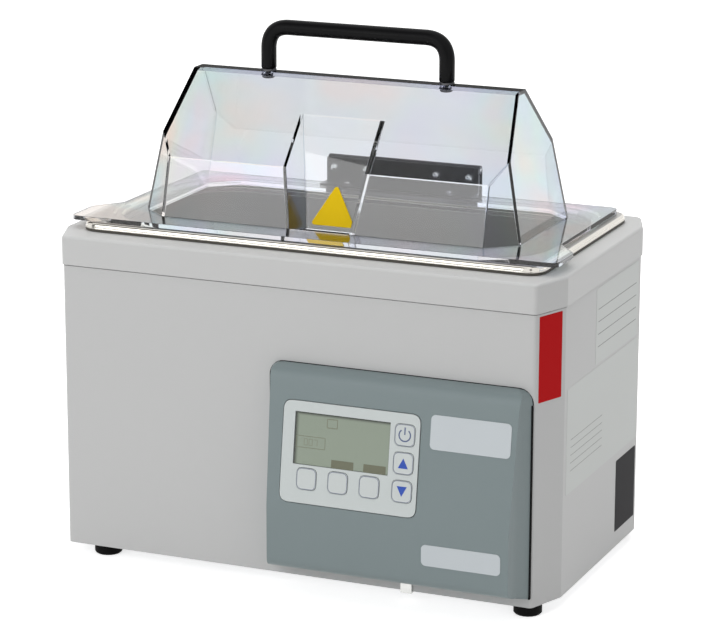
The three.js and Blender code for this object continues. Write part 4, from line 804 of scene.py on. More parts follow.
def raised(outline, thickness):
    """A flat piece on the XY plane, as thick as it is asked to be, from the points of its outline."""
    form = bmesh.new()
    face = form.faces.new([form.verts.new((x, y, 0)) for x, y in outline])
    made = bmesh.ops.extrude_face_region(form, geom=[face])["geom"]
    lifted = [item for item in made if isinstance(item, bmesh.types.BMVert)]
    bmesh.ops.translate(form, verts=lifted, vec=(0, 0, thickness))
    bmesh.ops.recalc_face_normals(form, faces=form.faces)
    return form


def rounded_slab(width, height, corner, thickness):
    """A thin slab on the XY plane, centred on the origin, with rounded corners."""
    outline = []
    for quarter, (sx, sy) in enumerate(((1, 1), (-1, 1), (-1, -1), (1, -1))):
        for i in range(ROUND_CORNER_STEPS + 1):
            angle = math.pi / 2 * (quarter + i / ROUND_CORNER_STEPS)
            outline.append((sx * (width / 2 - corner) + corner * math.cos(angle),
                            sy * (height / 2 - corner) + corner * math.sin(angle)))
    return raised(outline, thickness)


def stuck_on(name, form, where, material, body="case"):
    """A thin piece moved to its place on a surface."""
    form.transform(where)
    return new_piece(name, form, [material], body)


# Painted shade: a thin black sheet a little wider than the housing, and a thicker black strip at its
# right side, stand for the shadow in the gap behind it.
shade_sheet_height = housing_height + THIN_REACH
thin_shade_sheet = rounded_slab(housing_width + 2 * THIN_REACH, shade_sheet_height, HOUSING_ROUND, SHADE_SHEET_THICKNESS)
shade_sheet_place = Vector((housing_middle, case_front_y, housing_low.z + shade_sheet_height / 2))
strip_height = housing_height - STRIP_TOP_GAP
strip = rounded_slab(STRIP_WIDTH, strip_height, STRIP_WIDTH / 3, STRIP_THICKNESS)
strip_x = housing_high.x + THIN_REACH - STRIP_WIDTH / 2
strip_place = Vector((strip_x, case_front_y, housing_low.z + strip_height / 2))
for name, form, place in (("housing_seal", thin_shade_sheet, shade_sheet_place), ("seal_strip", strip, strip_place)):
    stuck_on(name, form, Matrix.Translation(place) @ upright_front, foot_rubber)
upper_plate = rounded_slab(*UPPER_PLATE_SIZE, PLATE_ROUND, PLATE_THICKNESS)
on_slope = slope_frame @ Matrix.Translation((*UPPER_PLATE_PLACE, 0))
stuck_on("upper_plate", upper_plate, on_slope, plate_foil)
lower_plate = rounded_slab(*LOWER_PLATE_SIZE, PLATE_ROUND, PLATE_THICKNESS)
on_front = Matrix.Translation(LOWER_PLATE_CENTRE) @ upright_front
stuck_on("lower_plate", lower_plate, on_front, plate_foil)


# Keypad frame and display
# A pale printed frame is let into the sloping face. Its window shows a grey-green liquid crystal
# display, whose dark segments lie just above its backing.
FRAME_COLOUR = (0.565, 0.605, 0.60, 1)
GLASS_COLOUR = (0.27, 0.315, 0.25, 1)
GLASS_SHADE = 0.14
SEGMENT_COLOUR = (0.135, 0.14, 0.09, 1)
FAINT_COLOUR = (0.20, 0.21, 0.145, 1)
DISPLAY_CENTRE = (41.3 * MM, 46.75 * MM)
DISPLAY_SIZE = (66.2 * MM, 34.3 * MM)
SEGMENT_LEVEL = -0.17 * MM
SEGMENT_THICKNESS = 0.03 * MM
SHADE_REACH = (3.4 * MM, 2.6 * MM)
SOFT_BLOCKS = {
    "menu_block": ((1.2 * MM, -14.4 * MM), (15.5 * MM, 5.4 * MM)),
    "enter_block": ((23.6 * MM, -14.4 * MM), (15.5 * MM, 5.4 * MM)),
}
DIGIT_SIZE = (2.3 * MM, 4.0 * MM)
DIGIT_STROKE = 0.32 * MM
DIGIT_PITCH = 3.4 * MM
DIGITS = ("abcdef", "abcdef", "abc")
READING_CENTRE = (-21.6 * MM, -2.2 * MM)
READING_BOX = (20.0 * MM, 7.4 * MM)
SMALL_BOX_CENTRE = (-7.2 * MM, 11.4 * MM)
SMALL_BOX = (7.0 * MM, 5.6 * MM)
FRAME_EDGE = 0.2 * MM
DISPLAY_EDGE = 0.1 * MM
BLOCK_ROUND = 0.3 * MM
BOX_ROUND = 0.3 * MM
READING_BOX_LINE = 0.35 * MM
SMALL_BOX_LINE = 0.5 * MM


def build_display_glass():
    """The display's backing, with painted shade along its left and upper edges, where the frame stands
    over it.
    """
    material = finish_of("display_glass", satin_skin, {
        "Colour": GLASS_COLOUR, "Shade spread": 0.05, "Grain scale": 6000.0, "Grain depth": 0.01,
        "Gloss": 0.2,
    })
    tree = material.node_tree
    shader = tree.nodes["Principled BSDF"]
    glass_colour = shader.inputs["Base Color"].links[0].from_socket
    where = tree.nodes.new("ShaderNodeTexCoord").outputs["Object"]
    split = add_node(tree, "ShaderNodeSeparateXYZ", {0: where}).outputs
    left = SLOPE_ORIGIN.x + DISPLAY_CENTRE[0] - DISPLAY_SIZE[0] / 2
    top = SLOPE_ORIGIN.z + (DISPLAY_CENTRE[1] + DISPLAY_SIZE[1] / 2) * math.cos(SLOPE_LEAN)
    right_of_left = number_node(tree, "SUBTRACT", split["X"], left)
    from_left = number_node(tree, "DIVIDE", right_of_left, SHADE_REACH[0])
    below_top = number_node(tree, "SUBTRACT", top, split["Z"])
    from_top = number_node(tree, "DIVIDE", below_top, SHADE_REACH[1])
    # Painted shade: the backing's colour darkens towards its left and upper edges.
    light = add_node(tree, "ShaderNodeMapRange", {
        "Value": number_node(tree, "MINIMUM", from_left, from_top),
        "To Min": GLASS_SHADE, "To Max": 1.0,
    }, interpolation_type="SMOOTHSTEP")
    shaded = add_node(tree, "ShaderNodeHueSaturation", {
        "Color": glass_colour, "Value": light.outputs["Result"],
    })
    tree.links.new(shaded.outputs["Color"], shader.inputs["Base Color"])
    return material


frame_plastic = finish_of("frame_plastic", satin_skin, {
    "Colour": FRAME_COLOUR, "Shade spread": 0.03, "Grain scale": 3000.0, "Grain depth": 0.03,
    "Gloss": 0.4,
})
segment_ink = finish_of("segment_ink", satin_skin, {"Colour": SEGMENT_COLOUR, "Gloss": 0.35})
faint_ink = finish_of("faint_ink", satin_skin, {"Colour": FAINT_COLOUR, "Gloss": 0.35})
refined("keypad_frame", "case", frame_plastic, FRAME_EDGE)
refined("lcd_module", "case", build_display_glass(), DISPLAY_EDGE)


def build_outline_tree():
    """A printed line round a rounded rectangle on the XY plane."""
    tree, given, result = open_group("printed_outline", "GeometryNodeTree", {
        "Width": ("Float", None), "Height": ("Float", None), "Corner": ("Float", None),
        "Line": ("Float", None), "Thickness": ("Float", None), "Material": ("Material", None),
    }, {"Geometry": ("Geometry", None)})
    box = add_node(tree, "GeometryNodeCurvePrimitiveQuadrilateral", {
        "Width": given["Width"], "Height": given["Height"],
    })
    rounded = add_node(tree, "GeometryNodeFilletCurve", mode="POLY")
    rounded.inputs["Count"].default_value = ROUND_CORNER_STEPS
    tree.links.new(box.outputs["Curve"], rounded.inputs["Curve"])
    tree.links.new(given["Corner"], rounded.inputs["Radius"])
    level = add_node(tree, "GeometryNodeSetCurveNormal", {"Curve": rounded.outputs["Curve"]},
                     mode="Z_UP")
    section = add_node(tree, "GeometryNodeCurvePrimitiveQuadrilateral", {
        "Width": given["Line"], "Height": given["Thickness"],
    })
    swept = add_node(tree, "GeometryNodeCurveToMesh", {
        "Curve": level.outputs["Curve"], "Profile Curve": section.outputs["Curve"],
    })
    paint_and_close(tree, given, result, swept.outputs["Mesh"])
    return tree


printed_outline = build_outline_tree()


def outline(name, size, corner, line, thickness, where, material, body, slot):
    """A thin printed line in its place on a body."""
    piece = grown(name, bpy.data.meshes.new(name), printed_outline, {
        "Width": size[0], "Height": size[1], "Corner": corner, "Line": line,
        "Thickness": thickness, "Material": material,
    })
    piece.data.transform(where)
    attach(piece, body)
    return piece


def add_block(form, place, size):
    stretch = Matrix.Diagonal((*size, 1))
    bmesh.ops.create_cube(form, size=1.0, matrix=Matrix.Translation(place) @ stretch)


def segment_bars(digits, size, stroke, pitch):
    """Seven-segment figures as flat bars, side by side from the left."""
    width, height = size
    level, upright = (width, stroke), (stroke, height / 2)
    places = {
        "a": ((0, height / 2), level), "g": ((0, 0), level), "d": ((0, -height / 2), level),
        "b": ((width / 2, height / 4), upright), "c": ((width / 2, -height / 4), upright),
        "e": ((-width / 2, -height / 4), upright), "f": ((-width / 2, height / 4), upright),
    }
    form = bmesh.new()
    for i, segments in enumerate(digits):
        start = (i - (len(digits) - 1) / 2) * pitch
        for segment in segments:
            (x, y), bar = places[segment]
            add_block(form, (x + start, y, 0), (*bar, SEGMENT_THICKNESS))
    return form


display_frame = slope_frame @ Matrix.Translation((*DISPLAY_CENTRE, SEGMENT_LEVEL))
for name, (place, size) in SOFT_BLOCKS.items():
    stuck_on(name, rounded_slab(*size, BLOCK_ROUND, SEGMENT_THICKNESS),
             display_frame @ Matrix.Translation((*place, 0)), segment_ink)
reading = display_frame @ Matrix.Translation((*READING_CENTRE, 0))
stuck_on("reading", segment_bars(DIGITS, DIGIT_SIZE, DIGIT_STROKE, DIGIT_PITCH), reading, faint_ink)
outline("reading_box", READING_BOX, BOX_ROUND, READING_BOX_LINE, SEGMENT_THICKNESS, reading,
        faint_ink, "case", "display_glass")
outline("mode_box", SMALL_BOX, BOX_ROUND, SMALL_BOX_LINE, SEGMENT_THICKNESS,
        display_frame @ Matrix.Translation((*SMALL_BOX_CENTRE, 0)), faint_ink, "case", "display_glass")


# Keys
# Six keys of the frame's pale plastic stand in its windows, each with a printed outline. One has
# the usual stand-by ring and bar, and two have blue arrows.
KEY_COLOUR = (0.575, 0.61, 0.605, 1)
KEY_LINE_COLOUR = (0.20, 0.225, 0.30, 1)
POWER_COLOUR = (0.085, 0.115, 0.22, 1)
ARROW_COLOUR = (0.013, 0.065, 0.40, 1)
KEY_TOP = 0.9 * MM
KEY_LINE = 0.42 * MM
PRINT_THICKNESS = 0.04 * MM
KEY_OUTLINE = (13.0 * MM, 13.4 * MM)
KEY_OUTLINE_ROUND = 3.3 * MM
ARROW_SIZE = (7.0 * MM, 6.6 * MM)
RING_RADIUS = 3.9 * MM
RING_LINE = 0.9 * MM
RING_GAP = math.radians(38)
RING_STEPS = 28
BAR_SIZE = (0.9 * MM, 4.8 * MM)
BAR_RISE = 2.7 * MM
KEYS = {
    "key_soft_left": ("soft_left", (18.4, 20.6)),
    "key_soft_middle": ("soft_middle", (40.3, 20.6)),
    "key_soft_right": ("soft_right", (62.2, 20.6)),
    "key_power": ("power", (84.7, 56.9)),
    "key_up": ("up", (84.7, 38.75)),
    "key_down": ("down", (84.7, 20.6)),
}
KEY_EDGE = 0.35 * MM

key_plastic = finish_of("key_plastic", satin_skin, {
    "Colour": KEY_COLOUR, "Shade spread": 0.03, "Grain scale": 3000.0, "Grain depth": 0.03,
    "Gloss": 0.42,
})
key_line_ink = finish_of("key_line_ink", satin_skin, {"Colour": KEY_LINE_COLOUR, "Gloss": 0.4})
power_ink = finish_of("power_ink", satin_skin, {"Colour": POWER_COLOUR, "Gloss": 0.4})
arrow_ink = finish_of("arrow_ink", satin_skin, {"Colour": ARROW_COLOUR, "Gloss": 0.4})


def arrow_head(direction):
    half, rise = ARROW_SIZE[0] / 2, direction * ARROW_SIZE[1] / 2
    return raised([(-half, -rise), (half, -rise), (0, rise)], PRINT_THICKNESS)


def standby_mark():
    """An open ring with a bar in its gap."""
    form = bmesh.new()
    rows = []
    for i in range(RING_STEPS + 1):
        angle = math.pi / 2 + RING_GAP + (2 * math.pi - 2 * RING_GAP) * i / RING_STEPS
        row = []
        for radius in (RING_RADIUS - RING_LINE / 2, RING_RADIUS + RING_LINE / 2):
            for z in (0, PRINT_THICKNESS):
                row.append(form.verts.new((radius * math.cos(angle), radius * math.sin(angle), z)))
        rows.append(row)
    for first, second in zip(rows, rows[1:]):
        for i, j in ((0, 1), (1, 3), (3, 2), (2, 0)):
            form.faces.new((first[i], first[j], second[j], second[i]))
    for row in (rows[0], rows[-1]):
        form.faces.new((row[0], row[1], row[3], row[2]))
    add_block(form, (0, BAR_RISE, PRINT_THICKNESS / 2), (*BAR_SIZE, PRINT_THICKNESS))
    bmesh.ops.recalc_face_normals(form, faces=form.faces)
    return form


key_marks = {
    "key_power": (standby_mark, power_ink), "key_up": (lambda: arrow_head(1), arrow_ink),
    "key_down": (lambda: arrow_head(-1), arrow_ink),
}
for node, (body, (across, up)) in KEYS.items():
    refined(node, body, key_plastic, KEY_EDGE)
    on_key = slope_frame @ Matrix.Translation((across * MM, up * MM, KEY_TOP))
    outline(node + "_outline", KEY_OUTLINE, KEY_OUTLINE_ROUND, KEY_LINE, PRINT_THICKNESS,
            on_key, key_line_ink, body, "key_plastic")
    if node in key_marks:
        make_mark, ink = key_marks[node]
        stuck_on(node + "_mark", make_mark(), on_key, ink, body)


# Labels on the case
# Bare white labels with ruled lines and a black one on the right side, and a plain red strip on
# the facet beside them. They are thin film, stuck flat to the paint.
LABEL_THICKNESS = 0.12 * MM
LABEL_WHITE = (0.57, 0.59, 0.575, 1)
LABEL_BLACK = (0.026, 0.025, 0.027, 1)
LABEL_RED = (0.50, 0.006, 0.008, 1)
LINE_COLOUR = (0.12, 0.13, 0.13, 1)
LABEL_ROUND = 1.0 * MM
SERVICE_LABEL = ((36.3, 173.6), (86.5, 51.2))
RATING_LABEL = ((10.55, 110.5), (143.0, 71.0))
BLACK_LABEL = ((60.8, 44.35), (40.5, 49.9))
RULED_LINES = {
    "service_lines": ((36.3, 172.0), 78.0, 4, 8.4, 0.45),
    "rating_lines": ((-22.0, 100.0), 62.0, 5, 5.2, 0.3),
}
RED_STRIP = (22.0, 56.0)
RED_STRIP_RISE = 171.5
RED_STRIP_ROUND = 0.5 * MM
FACET_START_X = 166.1 * MM
FACET_END_Y = -66.05 * MM

label_white = finish_of("label_white", satin_skin, {
    "Colour": LABEL_WHITE, "Shade spread": 0.02, "Grain scale": 2000.0, "Grain depth": 0.02,
    "Gloss": 0.4,
}, {"Specular IOR Level": 0.25})
label_black = finish_of("label_black", satin_skin, {
    "Colour": LABEL_BLACK, "Shade spread": 0.1, "Grain scale": 2000.0, "Gloss": 0.45,
}, {"Specular IOR Level": 0.02})
label_red = finish_of("label_red", satin_skin, {
    "Colour": LABEL_RED, "Shade spread": 0.05, "Grain scale": 2000.0, "Gloss": 0.5,
}, {"Specular IOR Level": 0.05})
line_ink = finish_of("line_ink", satin_skin, {"Colour": LINE_COLOUR, "Gloss": 0.5})


def build_lines_tree():
    """Ruled lines of one length on the XY plane, one above another, centred on the origin."""
    tree, given, result = open_group("ruled_lines", "GeometryNodeTree", {
        "Length": ("Float", None), "Count": ("Int", None), "Spacing": ("Float", None),
        "Line": ("Float", None), "Thickness": ("Float", None), "Material": ("Material", None),
    }, {"Geometry": ("Geometry", None)})
    gaps = number_node(tree, "SUBTRACT", given["Count"], 1.0)
    before = number_node(tree, "MULTIPLY", gaps, -0.5)
    first_y = number_node(tree, "MULTIPLY", before, given["Spacing"])
    start = add_node(tree, "ShaderNodeCombineXYZ", {"Y": first_y})
    step = add_node(tree, "ShaderNodeCombineXYZ", {"Y": given["Spacing"]})
    rows = add_node(tree, "GeometryNodeMeshLine", {
        "Count": given["Count"], "Start Location": start.outputs[0], "Offset": step.outputs[0],
    })
    size = add_node(tree, "ShaderNodeCombineXYZ", {
        "X": given["Length"], "Y": given["Line"], "Z": given["Thickness"],
    })
    bar = add_node(tree, "GeometryNodeMeshCube", {"Size": size.outputs[0]})
    place = add_node(tree, "GeometryNodeInstanceOnPoints", {
        "Points": rows.outputs["Mesh"], "Instance": bar.outputs["Mesh"],
    })
    paint_and_close(tree, given, result, place.outputs["Instances"])
    return tree


ruled_lines = build_lines_tree()
case_low, case_high = corners_of("outer_case")
quarter_turn = Matrix.Rotation(math.pi / 2, 4, "Z")
on_right_side = Matrix.Translation((case_high.x, 0, 0)) @ quarter_turn @ upright_front
for name, ((along, rise), size), film in (
    ("rating_label", RATING_LABEL, label_white), ("service_label", SERVICE_LABEL, label_white),
    ("black_label", BLACK_LABEL, label_black),
):
    where = on_right_side @ Matrix.Translation((along * MM, rise * MM, 0))
    stuck_on(name, rounded_slab(size[0] * MM, size[1] * MM, LABEL_ROUND, LABEL_THICKNESS), where, film)
for name, ((along, rise), length, count, spacing, line) in RULED_LINES.items():
    lines = grown(name, bpy.data.meshes.new(name), ruled_lines, {
        "Length": length * MM, "Count": count, "Spacing": spacing * MM, "Line": line * MM,
        "Thickness": PRINT_THICKNESS, "Material": line_ink,
    })
    lines.data.transform(on_right_side @ Matrix.Translation((along * MM, rise * MM, LABEL_THICKNESS)))
    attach(lines, "case")

facet_front = Vector((FACET_START_X, case_low.y, 0))
facet_back = Vector((case_high.x, FACET_END_Y, 0))
facet_middle = (facet_front + facet_back) / 2
facet_turn = math.atan2(facet_back.y - facet_front.y, facet_back.x - facet_front.x)
on_facet = (Matrix.Translation(facet_middle + Vector((0, 0, RED_STRIP_RISE * MM)))
            @ Matrix.Rotation(facet_turn, 4, "Z") @ upright_front)
red_strip = rounded_slab(RED_STRIP[0] * MM, RED_STRIP[1] * MM, RED_STRIP_ROUND, LABEL_THICKNESS)
stuck_on("red_strip", red_strip, on_facet, label_red)


# Lid
# One clear polycarbonate moulding: a gabled hood with chamfered corners, a pocket in its front
# wall, and a flat flange with finger tabs. Its rounded edges and the flat of its ridge take darker
# tints, as painted shade for how they look darker than its walls, and it holds faint moulding colours.
LID_EDGE_ROUND = 0.6 * MM
LID_EDGE_STEPS = 3
LID_SHARP_DEGREES = 12
LID_TINT = (0.940, 0.930, 0.962, 1)
RIDGE_SHADE_TINT = (0.52, 0.52, 0.62, 1)
LID_IOR = 1.58
LID_SHEET = 4.0 * MM
RIDGE_IOR = 1.03
LID_EDGE_SHADE_TINT = (0.55, 0.59, 0.67, 1)
STRESS_TINTS = ((0.32, (1.0, 0.84, 0.92, 1)), (0.43, (0.86, 0.91, 1.0, 1)),
                (0.53, (0.86, 0.98, 0.94, 1)), (0.63, (1.0, 0.93, 0.84, 1)))
STRESS_START = 70.0 * MM
STRESS_FULL = 118.0 * MM
STRESS_LEAST = 0.35
STRESS_SCALE = 11.0
POCKET_REACH = 31.0 * MM
POCKET_FRONT_Y = -18.0 * MM
POCKET_LOWEST = 231.0 * MM
POCKET_HIGHEST = 300.0 * MM
OUTER_CORNER_ROUND = 5.0 * MM
INNER_CORNER_ROUND = 2.0 * MM
POCKET_CORNER_STEPS = 5
FRONT_KINK = Vector((0, -40.9, 268.9)) * MM
FAINT_REACH = 4.0 * MM
BACK_START = 50.0 * MM
BACK_LEFT = 125.0 * MM
BACK_RIGHT = 112.0 * MM
LOWEST_FAINT = 236.0 * MM
POCKET_TOP = 290.0 * MM
RIDGE_BOTTOM = 310.0 * MM
RIDGE_EDGE = 319.0 * MM
LID_ROUGHNESS = 0.012
STRESS_DETAIL = 2.0
RIDGE_FLATNESS = 0.9
PROBE_LIFT = 0.3 * MM
PROBE_RISE_SHARE = 0.35


def build_clear_plastic(name, tint, refraction=LID_IOR):
    """Clear plastic with faint coloured patches, as a moulding under stress shows them."""
    material, tree, shader = new_material(name)
    shader.inputs["Roughness"].default_value = LID_ROUGHNESS
    shader.inputs["IOR"].default_value = refraction
    shader.inputs["Transmission Weight"].default_value = 1.0
    where = tree.nodes.new("ShaderNodeTexCoord").outputs["Object"]
    patches = noise_at(tree, where, STRESS_SCALE, STRESS_DETAIL)
    colours = add_node(tree, "ShaderNodeValToRGB", {"Fac": patches})
    ramp = colours.color_ramp
    for element, (place, colour) in zip((ramp.elements[0], ramp.elements[1]), STRESS_TINTS):
        element.position = place
        element.color = colour
    for place, colour in STRESS_TINTS[2:]:
        ramp.elements.new(place).color = colour
    across = add_node(tree, "ShaderNodeSeparateXYZ", {0: where}).outputs["X"]
    strength = add_node(tree, "ShaderNodeMapRange", {
        "Value": number_node(tree, "ABSOLUTE", across), "From Min": STRESS_START,
        "From Max": STRESS_FULL, "To Min": STRESS_LEAST,
    }, interpolation_type="SMOOTHSTEP")
    tinted = add_node(tree, "ShaderNodeMix", data_type="RGBA", blend_type="MULTIPLY")
    tree.links.new(strength.outputs["Result"], tinted.inputs["Factor"])
    tinted.inputs["A"].default_value = tint
    tree.links.new(colours.outputs["Color"], tinted.inputs["B"])
    tree.links.new(tinted.outputs["Result"], shader.inputs["Base Color"])
    return material


clear_plastic = build_clear_plastic("clear_polycarbonate", LID_TINT)
clear_edge_shade = build_clear_plastic("clear_edge_shade", LID_EDGE_SHADE_TINT)
ridge_shade_band = build_clear_plastic("ridge_shade_band", RIDGE_SHADE_TINT, RIDGE_IOR)


def middle_of(edge):
    return (edge.verts[0].co + edge.verts[1].co) / 2


def is_sharp(edge):
    return edge.is_manifold and edge.calc_face_angle() > math.radians(LID_SHARP_DEGREES)


def in_the_pocket(edge):
    return is_sharp(edge) and all(
        abs(vert.co.x) < POCKET_REACH and vert.co.y < POCKET_FRONT_Y
        and POCKET_LOWEST < vert.co.z < POCKET_HIGHEST for vert in edge.verts
    )


def is_faint(edge):
    """Folds that hardly show: the front kink, the back's, the ridge, the pocket's left and top."""
    x, y, z = middle_of(edge)
    on_front_kink = abs(z - FRONT_KINK.z) < FAINT_REACH and abs(y - FRONT_KINK.y) < FAINT_REACH
    at_back = y > BACK_START and z > LOWEST_FAINT and -BACK_LEFT < x < BACK_RIGHT
    pocket_left = -POCKET_REACH - FAINT_REACH < x < -POCKET_REACH + 2 * FAINT_REACH
    pocket_rim = pocket_left and z > FRONT_KINK.z - FAINT_REACH and y < 0
    pocket_top = abs(x) < POCKET_REACH - FAINT_REACH and POCKET_TOP < z < RIDGE_BOTTOM and y < 0
    return on_front_kink or at_back or pocket_rim or pocket_top or z > RIDGE_EDGE


def round_the_pocket(form):
    """Rounds the pocket's corners, those that stand out more than those that turn in, on both faces
    of the sheet. Then it marks which other sharp edges the lid's bevel takes."""
    surface = BVHTree.FromBMesh(form)
    forward_up = Vector((0, -1, PROBE_RISE_SHARE)).normalized()
    stands_out = {True: [], False: []}
    for edge in form.edges:
        if not in_the_pocket(edge):
            continue
        normal = (edge.link_faces[0].normal + edge.link_faces[1].normal).normalized()
        in_the_open = surface.ray_cast(middle_of(edge) + normal * PROBE_LIFT, forward_up)[0] is None
        stands_out[in_the_open == edge.is_convex].append(edge)
    rounded = form.faces.layers.int.new("rounded")
    for outwards, width in ((True, OUTER_CORNER_ROUND), (False, INNER_CORNER_ROUND)):
        edges = [edge for edge in stands_out[outwards] if edge.is_valid]
        made = bmesh.ops.bevel(
            form, geom=edges, offset=width, offset_type="OFFSET", segments=POCKET_CORNER_STEPS,
            profile=0.5, affect="EDGES", clamp_overlap=True, material=-1,
        )
        for face in made["faces"]:
            face[rounded] = 1
    weight = form.edges.layers.float.new("bevel_weight_edge")
    for edge in form.edges:
        edge.smooth = not is_sharp(edge) or any(face[rounded] for face in edge.link_faces)
        edge[weight] = 0.0 if edge.smooth or is_faint(edge) else 1.0


lid_form = merged_copy("lid_hood")
round_the_pocket(lid_form)
hood = new_piece("clear_hood", lid_form, [clear_plastic, clear_edge_shade, ridge_shade_band], "lid")
for face in hood.data.polygons:
    face.use_smooth = True
    # Painted shade: the flat top of the ridge takes the darker ridge tint.
    if face.center.z > RIDGE_EDGE - LID_SHEET and abs(face.normal.z) > RIDGE_FLATNESS:
        face.material_index = 2
lid_bevel = hood.modifiers.new("rounded_edges", "BEVEL")
lid_bevel.width = LID_EDGE_ROUND
lid_bevel.segments = LID_EDGE_STEPS
lid_bevel.limit_method = "WEIGHT"
# Painted shade: the rounded edges take the darker edge tint.
lid_bevel.material = 1
flat_walls = hood.modifiers.new("flat_walls", "WEIGHTED_NORMAL")
flat_walls.keep_sharp = True
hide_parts("lid_hood")


# Pocket sticker
# A plain yellow triangle of thin film with rounded corners.
# It is stuck to the back panel of the pocket.
STICKER_COLOUR = (0.84, 0.57, 0.004, 1)
STICKER_SIDE = 32.0 * MM
STICKER_ROUND = 1.6 * MM
STICKER_THICKNESS = 0.15 * MM
POCKET_BACK = Vector((0, -34.85, 230.0)) * MM
POCKET_BACK_LEAN = math.radians(16.7)
STICKER_RISE = 9.7 * MM
STICKER_ACROSS = 2.6 * MM
STICKER_GAP = 0.08 * MM

sticker_film = finish_of("sticker_film", satin_skin, {
    "Colour": STICKER_COLOUR, "Shade spread": 0.05, "Grain scale": 2500.0, "Gloss": 0.45,
}, {"Specular IOR Level": 0.1})


def rounded_triangle(side, corner, thickness):
    outline = []
    inner = side / math.sqrt(3) - 2 * corner
    for i in range(3):
        middle = math.pi / 2 + 2 * math.pi * i / 3
        for j in range(ROUND_CORNER_STEPS + 1):
            angle = middle + math.pi / 3 * (2 * j / ROUND_CORNER_STEPS - 1)
            outline.append((inner * math.cos(middle) + corner * math.cos(angle),
                            inner * math.sin(middle) + corner * math.sin(angle)))
    return raised(outline, thickness)


pocket_turn = Matrix.Rotation(math.pi / 2 - POCKET_BACK_LEAN, 4, "X")
on_pocket = (Matrix.Translation(POCKET_BACK) @ pocket_turn
             @ Matrix.Translation((STICKER_ACROSS, STICKER_RISE, STICKER_GAP)))
sticker = rounded_triangle(STICKER_SIDE, STICKER_ROUND, STICKER_THICKNESS)
stuck_on("pocket_sticker", sticker, on_pocket, sticker_film, "lid")


# Handle
# A black nylon bar bent twice, with a screw up into each leg through the ridge of the hood.
# A plain washer lies between each leg and the ridge, and the screw's head is under the sheet.
HANDLE_RADIUS = 5.2 * MM
HANDLE_HALF_SPAN = 64.0 * MM
HANDLE_BEND = 15.0 * MM
HANDLE_BEND_STEPS = 20
HANDLE_TURN_STEPS = 36
HANDLE_FOOT_ROUND = 0.8 * MM
HANDLE_FOOT_DRAW_SHARE = 0.6
HANDLE_SHARP_DEGREES = 50
WASHER_EDGE = 0.15 * MM
DULL_COLOUR = (0.10, 0.10, 0.105, 1)
HANDLE_SCREW = {"head": 4.2 * MM, "head_height": 2.4 * MM, "shank": 2.5 * MM, "length": 14.9 * MM}

handle_nylon = finish_of("handle_nylon", satin_skin, {
    "Colour": BLACK_PLASTIC_COLOUR, "Shade spread": 0.4, "Grain scale": 1500.0,
    "Grain depth": 0.02, "Gloss": 0.3,
}, {"Specular IOR Level": 0.08})


def bent_bar():
    """The bar as one solid piece, whose screws' shanks lie inside its legs."""
    low, high = corners_of("lid_handle")
    middle_y = (low.y + high.y) / 2
    top = high.z - HANDLE_RADIUS
    stations = [(-HANDLE_HALF_SPAN, low.z, 0.0), (-HANDLE_HALF_SPAN, low.z + HANDLE_FOOT_ROUND, 0.0)]
    for i in range(HANDLE_BEND_STEPS + 1):
        t = i / HANDLE_BEND_STEPS
        across = -HANDLE_HALF_SPAN + HANDLE_BEND * t * t
        rise = top - HANDLE_BEND * (1 - t) ** 2
        stations.append((across, rise, math.atan2(t, 1 - t)))
    stations += [(-x, z, math.pi - turn) for x, z, turn in reversed(stations)]
    angles = [2 * math.pi * j / HANDLE_TURN_STEPS for j in range(HANDLE_TURN_STEPS)]
    form = bmesh.new()
    rings = []
    for i, (x, z, turn) in enumerate(stations):
        at_end = i in (0, len(stations) - 1)
        radius = HANDLE_RADIUS - (HANDLE_FOOT_ROUND * HANDLE_FOOT_DRAW_SHARE if at_end else 0)
        centre = Vector((x, middle_y, z))
        across_bar = Vector((math.cos(turn), 0, -math.sin(turn)))
        along_y = Vector((0, 1, 0))
        rings.append([form.verts.new(
            centre + across_bar * radius * math.cos(angle) + along_y * radius * math.sin(angle)
        ) for angle in angles])
    join_rings(form, rings)
    for ring in (rings[0], rings[-1]):
        form.faces.new(ring)
    bmesh.ops.recalc_face_normals(form, faces=form.faces)
    return form


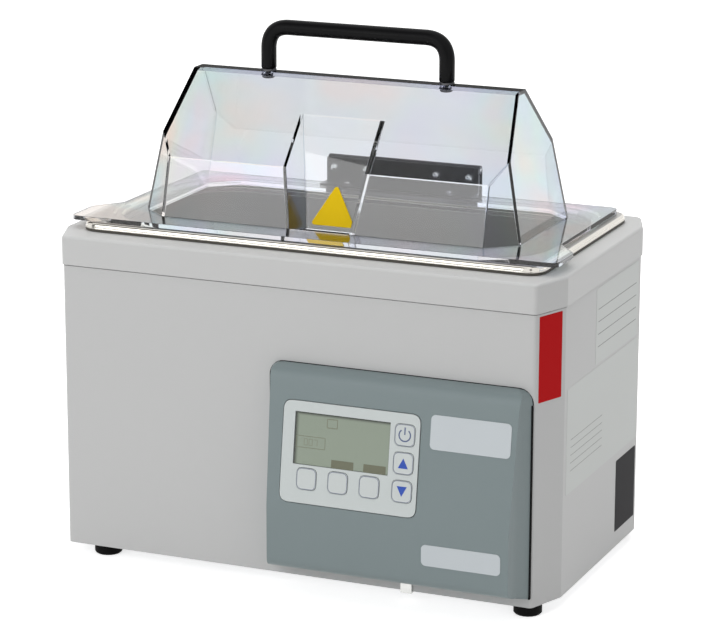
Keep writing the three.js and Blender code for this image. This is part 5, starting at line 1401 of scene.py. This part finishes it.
dull_steel = finish_of("dull_steel", drawn_steel, {
    "Colour": DULL_COLOUR, "Streak scale": (500.0, 500.0, 500.0), "Gloss": 0.35, "Streak depth": 0.01,
}, METAL)
handle = new_piece("carrying_handle", bent_bar(), [handle_nylon], "lid")
handle.data.shade_smooth()
handle.data.set_sharp_from_angle(angle=math.radians(HANDLE_SHARP_DEGREES))
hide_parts("lid_handle")
screws("handle_screws", HANDLE_SCREW, ["handle_screw_left", "handle_screw_right"], (0, 0, -1), "lid",
       dull_steel, seed=2)
for side in ("left", "right"):
    refined("handle_washer_" + side, "lid", dull_steel, WASHER_EDGE)


# Hinge and fixings
# A dark polished bracket on the lid's flange carries one leaf, and the other is screwed to the cover.
# The two leaves turn on a steel pin, and dome nuts close the bracket's four bolts.
HINGE_COLOUR = (0.055, 0.052, 0.056, 1)
SMALL_SCREW = {"head": 2.35 * MM, "head_height": 1.4 * MM, "shank": 1.4 * MM, "length": 2.4 * MM}
NUTS = ["dome_nut_" + number for number in "1234"]
LEAF_EDGE = 0.15 * MM
PIN_EDGE = 0.1 * MM
NUT_EDGE = 0.15 * MM

hinge_steel = finish_of("hinge_steel", drawn_steel, {
    "Colour": HINGE_COLOUR, "Streak scale": (12.0, 300.0, 900.0), "Shade spread": 0.1,
    "Gloss": 0.24, "Gloss spread": 0.1, "Streak depth": 0.01,
}, METAL)
for node, body in {"lid_bracket": "lid", "hinge_lid_leaf": "lid", "hinge_case_leaf": "case"}.items():
    refined(node, body, hinge_steel, LEAF_EDGE)
refined("hinge_pin", "case", bright_steel, PIN_EDGE)

nut_form = merged_copy(NUTS[0])
nut_front = corners_of(NUTS[0])[0].y
nut_seats = [Vector((centre_of(node).x, nut_front, centre_of(node).z)) for node in NUTS]
nut_form.transform(Matrix.Rotation(-math.pi / 2, 4, "X") @ Matrix.Translation(-nut_seats[0]))
nut_edges = [edge for edge in nut_form.edges
             if edge.is_manifold and edge.calc_face_angle() > math.radians(SCREW_SHARP_DEGREES)]
bmesh.ops.bevel(
    nut_form, geom=nut_edges, offset=NUT_EDGE, offset_type="OFFSET", segments=2, profile=0.5,
    affect="EDGES", clamp_overlap=True,
)
fixings("dome_nuts", nut_form, nut_seats, (0, -1, 0), NUTS, "lid", bright_steel, most_roll=0.0)
for kind, body in {"hinge_screw": "case", "bracket_screw": "lid"}.items():
    screws(kind + "s", SMALL_SCREW, [kind + "_left", kind + "_right"], (0, 0, 1), body,
           bright_steel, seed=5)
